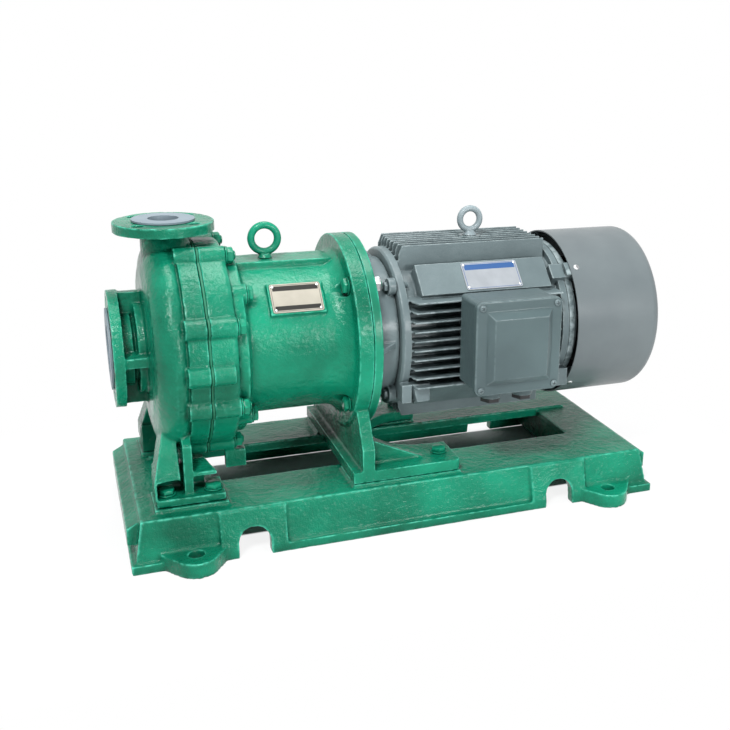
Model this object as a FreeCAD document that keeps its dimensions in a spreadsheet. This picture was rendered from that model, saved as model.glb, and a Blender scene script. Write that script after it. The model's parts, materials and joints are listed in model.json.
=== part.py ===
import FreeCAD, Part
import math
import os
import Sketcher

# Lined magnetic drive acid pump, close coupled to a flange motor on a cast base.
# X runs along the shaft from the suction flange to the motor fan, Y is across,
# Z is up, and the origin is on the floor in the middle of the four anchor holes.

Vector = FreeCAD.Vector
TURN = 360
GRILLE_SPOKES = 6
# Shares of a radius or length at which a round or a slope starts
LUG_TIP_ACROSS = 0.8
LUG_TIP_OUT = 0.6
NECK_FOOT_BULGE = 1.02
HOOD_ROOT = 0.7
COVER_LUG_ROOT = 0.9
LEG_TOP_ACROSS = 0.78
LEG_TOP_DOWN = 0.62
SCREW_HEAD_ROUND = 0.7
FIN_BEVEL_TOP = 1.2

SIZES = [
    # shaft line
    ("shaft_height", 320),
    ("suction_face_x", -477),
    ("fit_clearance", 0.05),
    ("journal_clearance", 0.05),
    ("overlap", 1),
    # cast base
    ("base_length", 963),
    ("base_width", 410),
    ("base_height", 83),
    ("base_lip_height", 16),
    ("base_lip_ledge", 8),
    ("deck_width", 370),
    ("base_wall", 12),
    ("deck_thickness", 13),
    ("anchor_spacing_x", 760),
    ("anchor_spacing_y", 424),
    ("anchor_hole", 24),
    ("lug_height", 27),
    ("lug_tip_radius", 37),
    ("lug_root_width", 112),
    ("notch_spacing", 566),
    ("notch_width", 52),
    ("notch_height", 50),
    ("notch_frame_width", 112),
    ("notch_frame_stand", 4),
    ("opening_length", 690),
    ("opening_width", 128),
    ("opening_x", 18),
    ("rail_width", 9),
    ("rail_length", 850),
    ("foot_pad_height", 6),
    ("foot_pad_margin", 4),
    ("end_ledge_width", 340),
    ("end_ledge_top", 66),
    ("end_ledge_bottom", 36),
    ("end_ledge_stand", 2),
    ("end_ledge_run", 60),
    ("end_ledge_flat", 26),
    ("under_rib_thickness", 12),
    # pump casing
    ("suction_bore", 80),
    ("suction_flange_diameter", 200),
    ("suction_flange_thickness", 18),
    ("suction_bolt_circle", 160),
    ("suction_bolt_count", 8),
    ("discharge_bore", 50),
    ("discharge_flange_diameter", 165),
    ("discharge_flange_thickness", 18),
    ("discharge_bolt_circle", 125),
    ("discharge_bolt_count", 4),
    ("flange_hole", 18),
    ("discharge_x", 100),
    ("discharge_height", 214),
    ("liner_thickness", 4),
    ("liner_face_height", 3),
    ("suction_liner_face", 138),
    ("discharge_liner_face", 102),
    ("neck_wall", 12),
    ("volute_front_x", 54),
    ("chamber_front_x", 70),
    ("chamber_radius", 140),
    ("volute_wall", 37),
    ("neck_step_radius", 63),
    ("neck_collar_radius", 79),
    ("neck_collar_x", 40),
    ("neck_collar_width", 14),
    ("neck_groove", 5),
    ("volute_root_depth", 52),
    ("volute_front_depth", 34),
    ("volute_front_land", 4),
    ("volute_front_run", 34),
    ("volute_front_round", 40),
    ("volute_shoulder", 16),
    ("casing_flange_front_x", 108),
    ("casing_back_x", 140),
    ("casing_body_radius", 179),
    ("casing_bolt_circle", 352),
    ("casing_bolt_count", 8),
    ("lobe_radius", 17),
    ("lobe_root", 4),
    ("stud_depth", 26),
    ("side_lug_angle", -2),
    ("casing_rib", 18),
    ("casing_rib_root", 20),
    ("casing_rib_rise", 8),
    ("casing_rib_inset", 2),
    ("discharge_neck_radius", 40),
    ("discharge_neck_spread", 66),
    ("discharge_root", 30),
    ("liner_tube_root", 10),
    # pump feet
    ("pump_foot_x", 101),
    ("pump_foot_length", 112),
    ("pump_foot_outer", 160),
    ("pump_foot_inner", 88),
    ("pump_foot_thickness", 14),
    ("pump_foot_bolt_spacing", 76),
    ("pump_foot_bolt_y", 136),
    ("pump_foot_rib", 16),
    ("pump_foot_wall", 24),
    ("pump_leg_front", 43),
    ("pump_leg_back", 86),
    ("pump_leg_knee_y", 155),
    ("pump_leg_knee_z", -190),
    ("pump_leg_top_x", 66),
    ("pump_leg_top_y", 112),
    ("pump_leg_top_z", -105),
    ("pump_leg_top_step", 40),
    ("pump_wall_inset", 2),
    ("foot_rib_x", 91),
    ("foot_rib_y", 150),
    ("foot_rib_top", -133),
    ("foot_rib_root", 30),
    ("foot_rib_slope", 10),
    ("hood_top", -178),
    ("hood_thickness", 8),
    ("hood_y", 152),
    ("hood_length", 38),
    ("foot_pocket_front", 48),
    ("foot_pocket_round", 9),
    ("foot_pocket_slope", 3),
    ("foot_pocket_run_out", 2),
    # rear cover and bracket
    ("gasket_thickness", 3),
    ("gasket_width", 14),
    ("cover_thickness", 44),
    ("cover_edge_rise", 6),
    ("cover_edge_run", 10),
    ("cover_edge_round", 12),
    ("side_lug_step", 8),
    ("cover_lug_x", 170),
    ("cover_lug_length", 36),
    ("cover_lug_width", 20),
    ("cover_lug_bottom", -211),
    ("bracket_length", 224),
    ("bracket_flange_thickness", 26),
    ("bracket_flange_radius", 162),
    ("bracket_flange_slope", 8),
    ("bracket_bolt_circle", 296),
    ("bracket_lobe_radius", 17),
    ("barrel_radius", 133),
    ("barrel_wall", 14),
    ("barrel_flare_radius", 150),
    ("barrel_flare_length", 30),
    ("barrel_flare_round", 40),
    ("ring_thickness", 27),
    ("ring_radius", 175),
    ("register_radius", 125),
    ("register_depth", 5),
    ("motor_bolt_circle", 300),
    ("top_pad_height", 141),
    ("top_pad_width", 66),
    ("top_pad_inset", 2),
    ("top_pad_gap", 12),
    ("plate_seat_distance", 137),
    ("plate_seat_x", 297),
    ("plate_seat_angle", 138),
    ("plate_seat_end_margin", 4),
    ("plate_seat_side_margin", 3),
    # support foot of the bracket
    ("leg_thickness", 23),
    ("leg_width", 350),
    ("leg_shoulder", 60),
    ("prong_front_overhang", 12),
    ("prong_length", 200),
    ("prong_thickness", 21),
    ("prong_cut_radius", 85),
    ("prong_cut_run", 36),
    ("prong_corner", 12),
    ("prong_bolt_x", 545),
    ("prong_bolt_y", 128),
    ("gusset_height", 46),
    ("gusset_length", 100),
    ("gusset_thickness", 14),
    ("gusset_y", 137),
    # wet end
    ("shell_flange_thickness", 8),
    ("shell_flange_x", 118),
    ("shell_radius", 81),
    ("shell_wall", 4),
    ("shell_end_x", 296),
    ("shell_bottom", 6),
    ("shell_round", 8),
    ("shell_inner_round", 6),
    ("socket_wall", 7),
    ("socket_slope", 2),
    ("socket_depth", 12),
    ("pump_shaft_diameter", 28),
    ("shaft_chamfer", 2),
    ("shaft_front_x", 50),
    ("bush_wall", 6),
    ("front_bush_x", 112),
    ("front_bush_length", 32),
    ("rear_bush_length", 32),
    ("thrust_ring_thickness", 5),
    ("thrust_ring_radius", 23),
    ("wet_gap", 0.5),
    ("support_vane_count", 3),
    ("support_vane", 6),
    ("support_length", 14),
    ("support_nose", 8),
    ("support_hub_wall", 7),
    ("support_vane_inset", 3),
    ("support_vane_short", 2),
    ("support_trim", 5),
    ("impeller_radius", 100),
    ("impeller_width", 36),
    ("impeller_x", 76),
    ("impeller_eye", 37),
    ("shroud", 5),
    ("shroud_bend_radius", 62),
    ("back_shroud_curve", 60),
    ("front_shroud_curve", 40),
    ("shroud_back_curve", 30),
    ("shroud_step", 4),
    ("impeller_hub_run", 10),
    ("impeller_sleeve_radius", 50),
    ("eye_lip", 2),
    ("eye_lip_inner", 4),
    ("eye_lip_outer", 3),
    ("eye_lip_run", 6),
    ("outlet_width", 18),
    ("vane_count", 6),
    ("vane_thickness", 5),
    ("vane_sweep", 62),
    ("vane_curve", 78),
    ("vane_root", 34),
    ("vane_front", 9),
    ("vane_trim", 12),
    ("inner_rotor_x", 124),
    ("inner_rotor_radius", 74),
    ("magnet_count", 16),
    ("magnet_length", 68),
    ("magnet_start_x", 198),
    ("inner_magnet_thickness", 9),
    ("inner_magnet_cover", 3),
    ("rotor_chamfer", 2),
    ("outer_magnet_inner_radius", 84),
    ("outer_magnet_thickness", 8),
    ("magnet_width_angle", 19),
    ("carrier_wall", 11),
    ("carrier_front_x", 194),
    ("carrier_bottom_x", 300),
    ("carrier_bottom", 16),
    ("carrier_lip", 4),
    ("carrier_chamfer", 6),
    ("carrier_round", 8),
    ("hub_radius", 38),
    ("hub_end_x", 388),
    # motor, measured from its flange face
    ("motor_flange_thickness", 16),
    ("bell_length", 43),
    ("bell_radius", 129),
    ("bell_foot_rise", 5),
    ("bell_foot_run", 8),
    ("bell_cup_radius", 96),
    ("bell_cup", 3),
    ("bell_wall_step", 12),
    ("bell_web", 16),
    ("bell_spigot", 6),
    ("bell_spigot_wall", 8),
    ("bell_seat_wall", 14),
    ("bell_seat_front", 8),
    ("shaft_hole_play", 1.5),
    ("bell_rib", 10),
    ("bell_rib_inset", 12),
    ("bell_rib_end", 10),
    ("bell_rib_rise", 2),
    ("bell_rib_root", 4),
    ("bell_ear", 14),
    ("bell_ear_radius", 15),
    ("frame_length", 325),
    ("frame_radius", 130),
    ("frame_bore_radius", 120),
    ("frame_plate_thickness", 17),
    ("frame_plate_radius", 146),
    ("frame_plate_slope", 4),
    ("frame_rear_plate", 14),
    ("fin_tip", 153),
    ("fin_pitch", 17),
    ("fin_thickness", 3.6),
    ("side_fin_count", 10),
    ("top_fin_count", 8),
    ("top_fin_tip", 160),
    ("fin_front_x", 78),
    ("fin_back_x", 362),
    ("fin_bevel", 16),
    ("fin_bevel_start", 6),
    ("corner_pad_distance", 153),
    ("corner_pad_width", 64),
    ("corner_pad_x", 99),
    ("corner_pad_length", 250),
    ("foot_boss_y", 142),
    ("foot_boss_top", -71),
    ("foot_boss_bottom", -105),
    ("foot_boss_length", 52),
    ("eye_boss_radius", 20),
    ("box_seat_inset", 30),
    ("cowl_ear_width", 30),
    ("cowl_ear_length", 28),
    ("cowl_ear_rise", 10),
    ("shield_thread_depth", 26),
    ("motor_eye_x", 238),
    ("shaft_diameter", 42),
    ("shaft_reach", 110),
    ("journal_diameter", 45),
    ("journal_step_x", 6),
    ("motor_shaft_chamfer", 2),
    ("rotor_seat_diameter", 60),
    ("bearing_diameter", 100),
    ("bearing_width", 25),
    ("front_bearing_x", 21),
    ("rear_bearing_x", 379),
    ("fan_seat_diameter", 38),
    ("fan_seat_end_x", 524),
    ("ball_count", 8),
    ("core_x", 124),
    ("core_length", 185),
    ("air_gap", 0.5),
    ("stator_bore_radius", 78),
    ("cage_ring_length", 15),
    ("cage_ring_depth", 26),
    ("cage_ring_cover", 4),
    ("winding_length", 40),
    ("winding_inner_gap", 6),
    ("winding_outer_gap", 8),
    ("winding_round", 8),
    ("rear_shield_thickness", 16),
    ("rear_edge_round", 6),
    ("rear_slope", 4),
    ("rear_slope_wall", 16),
    ("rear_cap_wall", 8),
    ("rear_cap", 4),
    ("rear_hole_play", 2),
    ("rear_web_wall", 12),
    ("rear_ear_width", 26),
    ("rear_ear_length", 20),
    ("rear_ear_reach", 10),
    ("rear_ear_trim", 12),
    ("fan_x", 424),
    ("fan_length", 62),
    ("fan_radius", 122),
    ("fan_hub_radius", 34),
    ("fan_disc_x", 22),
    ("fan_disc_run", 8),
    ("fan_disc", 4),
    ("fan_disc_back", 2),
    ("fan_disc_step", 20),
    ("fan_root_rise", 4),
    ("fan_back_rise", 6),
    ("fan_hub_short", 14),
    ("fan_blade_start", 6),
    ("fan_blade_slope", 8),
    ("fan_blade_corner", 6),
    ("fan_blade_root", 2),
    ("fan_blade_back", 12),
    ("fan_blade_count", 8),
    ("fan_blade", 4),
    ("cowl_x", 393),
    ("cowl_length", 177),
    ("cowl_radius", 159),
    ("cowl_wall", 2),
    ("cowl_round", 18),
    ("grille_slot", 7),
    ("grille_pitch", 16),
    ("grille_rings", 6),
    ("grille_core_radius", 22),
    ("grille_spoke_angle", 12),
    ("key_width", 12),
    ("key_height", 8),
    ("key_length", 60),
    # terminal box
    ("box_x", 232),
    ("box_z", 15),
    ("box_width", 150),
    ("box_height", 158),
    ("box_wall", 6),
    ("box_back_y", 166),
    ("box_front_y", 235),
    ("box_corner", 12),
    ("cover_width", 159),
    ("cover_height", 166),
    ("cover_corner", 14),
    ("cover_edge", 3),
    ("cover_plate", 11),
    ("cover_panel_width", 120),
    ("cover_panel_height", 128),
    ("cover_panel_rise", 8),
    ("cover_panel_taper", 25),
    ("cover_screw_play", 0.4),
    ("cover_screw_inset", 11),
    ("cover_post_radius", 7),
    ("gland_spacing", 60),
    ("gland_radius", 19),
    ("gland_length", 22),
    ("gland_y", 200),
    ("gland_wall", 5),
    ("gland_cap_width", 32),
    ("gland_cap", 7),
    ("gland_stem_extra", 4),
    ("cover_screw_length", 20),
    ("cover_thread_depth", 14),
    ("block_width", 84),
    ("block_height", 46),
    ("block_depth", 22),
    ("stud_pitch", 26),
    ("stud_rise", 12),
    ("stud_radius", 3),
    ("stud_length", 16),
    ("stud_nut_width", 10),
    ("stud_nut", 5),
    # fasteners, lifting eyes and plates
    ("bolt_diameter", 16),
    ("bolt_head_height", 10),
    ("bolt_head_width", 24),
    ("nut_height", 13),
    ("hole_play", 1.5),
    ("screw_diameter", 6),
    ("screw_head_radius", 6),
    ("screw_head_height", 4),
    ("shield_bolt_diameter", 10),
    ("shield_bolt_circle", 278),
    ("shield_bolt_length", 38),
    ("thread_past_nut", 3),
    ("cowl_screw_length", 9),
    ("cowl_screw_x", 406),
    ("pump_eye_x", 266),
    ("pump_eye_ring", 23),
    ("pump_eye_wire", 6.5),
    ("motor_eye_ring", 19.5),
    ("motor_eye_wire", 6),
    ("eye_collar_radius", 14),
    ("eye_collar_height", 7),
    ("eye_collar_slope", 5),
    ("eye_thread_depth", 12),
    ("plate_thickness", 1),
    ("pump_plate_length", 86),
    ("pump_plate_width", 54),
    ("motor_plate_length", 108),
    ("motor_plate_width", 56),
    ("rivet_radius", 2.5),
    ("rivet_height", 1.2),
    ("rivet_inset", 5),
]


def number_of(item):
    return item.number if isinstance(item, Size) else item


def formula_of(item):
    return item.formula if isinstance(item, Size) else "(%s)" % item


class Size:
    """A number together with the sheet formula that gives it."""

    def __init__(self, number, formula):
        self.number = number
        self.formula = formula

    def joined(self, other, sign, number):
        return Size(number, "(%s %s %s)" % (self.formula, sign, formula_of(other)))

    def __add__(self, other):
        return self.joined(other, "+", self.number + number_of(other))

    def __radd__(self, other):
        return self + other

    def __sub__(self, other):
        return self.joined(other, "-", self.number - number_of(other))

    def __rsub__(self, other):
        return -self + other

    def __mul__(self, other):
        return self.joined(other, "*", self.number * number_of(other))

    def __rmul__(self, other):
        return self * other

    def __truediv__(self, other):
        return self.joined(other, "/", self.number / number_of(other))

    def __rtruediv__(self, other):
        return Size(number_of(other) / self.number,
                    "(%s / %s)" % (formula_of(other), self.formula))

    def __neg__(self):
        return self * -1


def cosine(angle):
    return Size(math.cos(math.radians(number_of(angle))), "cos(%s)" % formula_of(angle))


def sine(angle):
    return Size(math.sin(math.radians(number_of(angle))), "sin(%s)" % formula_of(angle))


def slope_angle(rise, run):
    ratio = rise / run
    return Size(math.degrees(math.atan(ratio.number)), "atan(%s)" % ratio.formula)


class Sheet:
    """The driving dimensions, kept in a spreadsheet and read by name."""

    def __init__(self, document, sizes):
        self.object = document.addObject("Spreadsheet::Sheet", "sizes")
        for row, (name, number) in enumerate(sizes, 1):
            self.object.set("A%d" % row, name)
            self.object.set("B%d" % row, str(number))
            self.object.setAlias("B%d" % row, name)
            setattr(self, name, Size(number, "sizes." + name))


document = FreeCAD.newDocument("acid_pump")
s = Sheet(document, SIZES)
document.recompute()
finished = []


def bind(item, name, size):
    """Drive a property from the sheet."""
    item.setExpression(name, formula_of(size))


class Piece:
    """One sub-part: a body made of sketches and features."""

    def __init__(self, label, at_x=0, at_y=0, at_z=0):
        self.label = label
        self.body = document.addObject("PartDesign::Body", label)
        self.body.Label = label
        bind(self.body, "Placement.Base.x", at_x)
        bind(self.body, "Placement.Base.y", at_y)
        bind(self.body, "Placement.Base.z", at_z)
        self.step = 0
        finished.append(self.body)

    def origin(self, role):
        found = [item for item in self.body.Origin.OriginFeatures if item.Role == role]
        return found[0]

    def name(self, kind):
        self.step += 1
        return "%s_%s_%d" % (self.label, kind, self.step)

    def sketch(self, plane, offset):
        sketch = self.body.newObject("Sketcher::SketchObject", self.name("sketch"))
        sketch.AttachmentSupport = [(self.origin(plane), "")]
        sketch.MapMode = "FlatFace"
        bind(sketch, "AttachmentOffset.Base.z", offset)
        return sketch

    def outline(self, plane, points, offset=0):
        """A closed outline. A third value makes the edge to that point an arc
        of that radius, turning left, or right where it is negative."""
        sketch = self.sketch(plane, offset)
        count = len(points)
        ends = []
        for index, point in enumerate(points):
            target = points[(index + 1) % count]
            start = Vector(number_of(point[0]), number_of(point[1]), 0)
            stop = Vector(number_of(target[0]), number_of(target[1]), 0)
            if len(target) == 2:
                sketch.addGeometry(Part.LineSegment(start, stop), False)
                ends.append((1, 2))
                continue
            radius = number_of(target[2])
            chord = stop - start
            reach = math.sqrt(max(radius ** 2 - chord.Length ** 2 / 4, 0))
            side = Vector(-chord.y, chord.x, 0).normalize() * math.copysign(reach, radius)
            centre = (start + stop) / 2 + side
            first, last = (start, stop) if radius > 0 else (stop, start)
            first_angle = math.atan2(first.y - centre.y, first.x - centre.x)
            last_angle = math.atan2(last.y - centre.y, last.x - centre.x)
            circle = Part.Circle(centre, Vector(0, 0, 1), abs(radius))
            sketch.addGeometry(Part.ArcOfCircle(circle, first_angle, last_angle), False)
            ends.append((1, 2) if radius > 0 else (2, 1))
        rules = []
        names = []
        for index in range(count):
            after = (index + 1) % count
            rules.append(Sketcher.Constraint("Coincident", index, ends[index][1],
                                             after, ends[after][0]))
            names.append(None)
        for index, point in enumerate(points):
            corner = ends[index][0]
            for axis, size in (("DistanceX", point[0]), ("DistanceY", point[1])):
                rules.append(Sketcher.Constraint(axis, -1, 1, index, corner,
                                                 number_of(size)))
                names.append(("%s_%d" % (axis, index), size))
            if len(point) == 3:
                radius = point[2] if number_of(point[2]) > 0 else -1 * point[2]
                rules.append(Sketcher.Constraint("Radius", (index - 1) % count,
                                                 number_of(radius)))
                names.append(("radius_%d" % index, radius))
        self.constrain(sketch, rules, names)
        return sketch

    def radial_circles(self, angle, circles, distance):
        """Circles on a plane that faces out from the shaft line at an angle."""
        sketch = self.circles("XY_Plane", circles)
        sketch.AttachmentOffset = FreeCAD.Placement(
            Vector(), FreeCAD.Rotation(Vector(1, 0, 0), angle))
        bind(sketch, "AttachmentOffset.Base.y", -1 * distance * sine(angle))
        bind(sketch, "AttachmentOffset.Base.z", distance * cosine(angle))
        return sketch

    def circles(self, plane, circles, offset=0):
        sketch = self.sketch(plane, offset)
        rules = []
        names = []
        for index, (across, up, radius) in enumerate(circles):
            centre = Vector(number_of(across), number_of(up), 0)
            circle = Part.Circle(centre, Vector(0, 0, 1), number_of(radius))
            sketch.addGeometry(circle, False)
            for axis, size in (("DistanceX", across), ("DistanceY", up)):
                rules.append(Sketcher.Constraint(axis, -1, 1, index, 3, number_of(size)))
                names.append(("%s_%d" % (axis, index), size))
            rules.append(Sketcher.Constraint("Radius", index, number_of(radius)))
            names.append(("radius_%d" % index, radius))
        self.constrain(sketch, rules, names)
        return sketch

    def constrain(self, sketch, rules, names):
        sketch.addConstraint(rules)
        for index, named in enumerate(names):
            if named:
                sketch.renameConstraint(index, named[0])
                bind(sketch, "Constraints." + named[0], named[1])

    def feature(self, kind, profile):
        made = self.body.newObject("PartDesign::" + kind, self.name(kind.lower()))
        made.Profile = (profile, [""])
        profile.Visibility = False
        return made

    def pad(self, profile, length, symmetric=False, reverse=False, taper=0):
        made = self.feature("Pad", profile)
        bind(made, "Length", length)
        made.SideType = "Symmetric" if symmetric else "One side"
        made.Reversed = reverse
        if taper:
            bind(made, "TaperAngle", taper)
        return made

    def pocket(self, profile, length, symmetric=False, reverse=False, taper=0):
        made = self.feature("Pocket", profile)
        bind(made, "Length", length)
        made.SideType = "Symmetric" if symmetric else "One side"
        made.Reversed = reverse
        if taper:
            bind(made, "TaperAngle", taper)
        return made

    def turned(self, points, kind="Revolution"):
        """Turn a half section, given as along and out, about the shaft line."""
        made = self.feature(kind, self.outline("XZ_Plane", points))
        made.ReferenceAxis = (self.origin("X_Axis"), [""])
        made.Angle = TURN
        return made

    def grooved(self, points):
        return self.turned(points, "Groove")

    def polar(self, features, count, axis="X_Axis"):
        made = self.body.newObject("PartDesign::PolarPattern", self.name("polar"))
        made.Originals = features
        made.Axis = (self.origin(axis), [""])
        made.Angle = TURN
        bind(made, "Occurrences", count)
        self.body.Tip = made
        return made

    def row(self, features, count, length, axis):
        made = self.body.newObject("PartDesign::LinearPattern", self.name("row"))
        made.Originals = features
        made.Direction = (self.origin(axis), [""])
        bind(made, "Length", length)
        bind(made, "Occurrences", count)
        self.body.Tip = made
        return made

    def mirrored(self, features, plane):
        made = self.body.newObject("PartDesign::Mirrored", self.name("mirror"))
        made.Originals = features
        made.MirrorPlane = (self.origin(plane), [""])
        self.body.Tip = made
        return made

    def rounded(self, radius, chosen, kind="Fillet"):
        """Round the edges of the present shape that the function chosen picks."""
        document.recompute()
        base = self.body.Tip
        names = ["Edge%d" % (index + 1) for index, edge in enumerate(base.Shape.Edges)
                 if chosen(edge)]
        if not names:
            raise RuntimeError("no edge to round on " + self.label)
        made = self.body.newObject("PartDesign::" + kind, self.name(kind.lower()))
        made.Base = (base, names)
        bind(made, "Radius" if kind == "Fillet" else "Size", radius)
        return made


def box_outline(centre_across, centre_up, width, height):
    left = centre_across - width / 2
    right = centre_across + width / 2
    low = centre_up - height / 2
    high = centre_up + height / 2
    return [(left, low), (right, low), (right, high), (left, high)]


def ring_outline(start, stop, inner, outer):
    return [(start, inner), (stop, inner), (stop, outer), (start, outer)]


def near(first, second, slack=0.01):
    return abs(first - second) < slack


def is_circle(edge, radius=None, x=None):
    """True for a round edge about the shaft line, of a given radius and place."""
    if edge.Curve.TypeId != "Part::GeomCircle":
        return False
    if abs(abs(edge.Curve.Axis.x) - 1) > 0.01:
        return False
    fits = True
    if radius is not None:
        fits = near(edge.Curve.Radius, number_of(radius))
    if x is not None:
        fits = fits and near(edge.Curve.Center.x, number_of(x))
    return fits


def group(label, shapes, at_x=0, at_z=0):
    """Like fasteners kept together as separate solids in one sub-part."""
    item = document.addObject("Part::Feature", label)
    item.Label = label
    item.Shape = Part.makeCompound(shapes)
    item.Placement = FreeCAD.Placement(Vector(number_of(at_x), 0, number_of(at_z)),
                                       FreeCAD.Rotation())
    finished.append(item)
    return item


# Places along the shaft, from the suction face
cover_front_x = s.casing_back_x + s.gasket_thickness
cover_back_x = cover_front_x + s.cover_thickness
bracket_flange_back_x = cover_back_x + s.bracket_flange_thickness
motor_face_x = cover_back_x + s.bracket_length
ring_front_x = motor_face_x - s.ring_thickness
motor_origin_x = s.suction_face_x + motor_face_x
# Heights below the shaft line
foot_seat_z = s.base_height + s.foot_pad_height - s.shaft_height
foot_top_z = foot_seat_z + s.pump_foot_thickness
prong_top_z = foot_seat_z + s.prong_thickness
# Radii of the wet chamber and what fits in it
lined_radius = s.chamber_radius + s.liner_thickness
spigot_radius = s.chamber_radius - s.fit_clearance
volute_radius = lined_radius + s.volute_wall
shell_bottom_x = s.shell_end_x - s.shell_bottom
rear_ring_x = shell_bottom_x - s.socket_depth - s.thrust_ring_thickness
inner_rotor_end_x = rear_ring_x - s.wet_gap
stud_front_x = s.casing_back_x - s.stud_depth
bolt_radius = s.bolt_diameter / 2
bolt_hole_radius = bolt_radius + s.hole_play / 2


def make_base():
    piece = Piece("baseplate")
    lip = piece.outline("XY_Plane", box_outline(0, 0, s.base_length, s.base_width))
    piece.pad(lip, s.base_lip_height)
    foot_length = s.base_length - 2 * s.base_lip_ledge
    foot_width = s.base_width - 2 * s.base_lip_ledge
    lean = slope_angle((foot_width - s.deck_width) / 2, s.base_height - s.base_lip_height)
    walls = piece.outline("XY_Plane", box_outline(0, 0, foot_length, foot_width),
                          s.base_lip_height)
    piece.pad(walls, s.base_height - s.base_lip_height, taper=-lean)
    # raised frames round the notches
    half = s.base_width / 2
    top_half = s.deck_width / 2
    frame = piece.outline("YZ_Plane", [
        (-half, 0), (half, 0), (half, s.base_lip_height),
        (top_half + s.notch_frame_stand, s.base_height - s.notch_frame_stand),
        (top_half, s.base_height), (-top_half, s.base_height),
        (-top_half - s.notch_frame_stand, s.base_height - s.notch_frame_stand),
        (-half, s.base_lip_height)], s.notch_spacing / 2)
    frame_pad = piece.pad(frame, s.notch_frame_width, symmetric=True)
    piece.mirrored([frame_pad], "YZ_Plane")
    # ledge across each end
    end = s.base_length / 2
    ledge = piece.outline("XZ_Plane", [
        (-end - s.end_ledge_stand, s.end_ledge_bottom),
        (-end + s.end_ledge_run, s.end_ledge_bottom),
        (-end + s.end_ledge_run, s.base_height - s.end_ledge_stand),
        (-end + s.end_ledge_flat, s.base_height - s.end_ledge_stand),
        (-end - s.end_ledge_stand, s.end_ledge_top)])
    ledge_pad = piece.pad(ledge, s.end_ledge_width, symmetric=True)
    piece.mirrored([ledge_pad], "YZ_Plane")
    # anchor lugs
    hole_x = s.anchor_spacing_x / 2
    hole_y = s.anchor_spacing_y / 2
    root = s.lug_root_width / 2
    tip_x = s.lug_tip_radius * LUG_TIP_ACROSS
    tip_y = hole_y + s.lug_tip_radius * LUG_TIP_OUT
    lug_y = half - s.base_lip_ledge
    for centre in (-hole_x, hole_x):
        lug = piece.outline("XY_Plane", [
            (centre - root, top_half), (centre + root, top_half), (centre + root, lug_y),
            (centre + tip_x, tip_y), (centre - tip_x, tip_y, s.lug_tip_radius),
            (centre - root, lug_y)])
        lug_pad = piece.pad(lug, s.lug_height)
        piece.mirrored([lug_pad], "XZ_Plane")
    # hollow underneath, leaving the walls and the deck
    inner_length = foot_length - 2 * s.base_wall
    inner_width = foot_width - 2 * s.base_wall
    hollow = piece.outline("XY_Plane", box_outline(0, 0, inner_length, inner_width))
    piece.pocket(hollow, s.base_height - s.deck_thickness, reverse=True, taper=-lean)
    # cross ribs under the deck
    rib_x = s.opening_length / 2 + s.under_rib_thickness
    for centre in (s.opening_x - rib_x, s.opening_x + rib_x):
        rib = piece.outline("XY_Plane", box_outline(centre, 0, s.under_rib_thickness,
                                                    s.deck_width - s.base_wall),
                            s.base_lip_height)
        piece.pad(rib, s.base_height - s.base_lip_height - s.deck_thickness / 2)
    # opening in the deck
    opening = piece.outline("XY_Plane", box_outline(s.opening_x, 0, s.opening_length,
                                                    s.opening_width), s.base_height)
    piece.pocket(opening, s.deck_thickness * 2)
    # drip rail along the far side of the opening
    rail = piece.outline("XY_Plane",
                         box_outline(0, s.opening_width / 2 + s.rail_width / 2,
                                     s.rail_length, s.rail_width),
                         s.base_height - s.overlap)
    piece.pad(rail, s.foot_pad_height + s.overlap)
    # seats for the feet
    foot_x = s.suction_face_x + s.pump_foot_x
    foot_y = (s.pump_foot_outer + s.pump_foot_inner) / 2
    seat = piece.outline("XY_Plane",
                         box_outline(foot_x, foot_y,
                                     s.pump_foot_length + 2 * s.foot_pad_margin,
                                     s.pump_foot_outer - s.pump_foot_inner
                                     + 2 * s.foot_pad_margin),
                         s.base_height - s.overlap)
    seat_pad = piece.pad(seat, s.foot_pad_height + s.overlap)
    piece.mirrored([seat_pad], "XZ_Plane")
    prong_x = s.suction_face_x + ring_front_x - s.prong_front_overhang + s.prong_length / 2
    prong_width = s.leg_width / 2 - s.prong_cut_radius
    prong_y = s.leg_width / 2 - prong_width / 2
    seat = piece.outline("XY_Plane", box_outline(prong_x, prong_y, s.prong_length,
                                                 prong_width),
                         s.base_height - s.overlap)
    seat_pad = piece.pad(seat, s.foot_pad_height + s.overlap)
    piece.mirrored([seat_pad], "XZ_Plane")
    # half round notches through both long sides
    notch_round = s.notch_width / 2
    for centre in (s.notch_spacing / 2, -1 * (s.notch_spacing / 2)):
        notch = piece.outline("XZ_Plane", [
            (centre - notch_round, 0), (centre + notch_round, 0),
            (centre + notch_round, s.notch_height - notch_round),
            (centre, s.notch_height, notch_round),
            (centre - notch_round, s.notch_height - notch_round, notch_round)])
        piece.pocket(notch, s.base_width * 2, symmetric=True)
    # anchor holes and tapped holes for the feet
    anchors = piece.circles("XY_Plane", [
        (sx * hole_x, sy * hole_y, s.anchor_hole / 2)
        for sx in (-1, 1) for sy in (-1, 1)], s.lug_height)
    piece.pocket(anchors, s.lug_height)
    bolts_x = [foot_x - s.pump_foot_bolt_spacing / 2, foot_x + s.pump_foot_bolt_spacing / 2]
    threads = [(x, sy * s.pump_foot_bolt_y, bolt_radius + s.fit_clearance)
               for x in bolts_x for sy in (-1, 1)]
    threads += [(s.suction_face_x + s.prong_bolt_x, sy * s.prong_bolt_y,
                 bolt_radius + s.fit_clearance) for sy in (-1, 1)]
    tapped = piece.circles("XY_Plane", threads, s.base_height + s.foot_pad_height)
    piece.pocket(tapped, s.foot_pad_height + s.deck_thickness + s.overlap)


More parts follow.
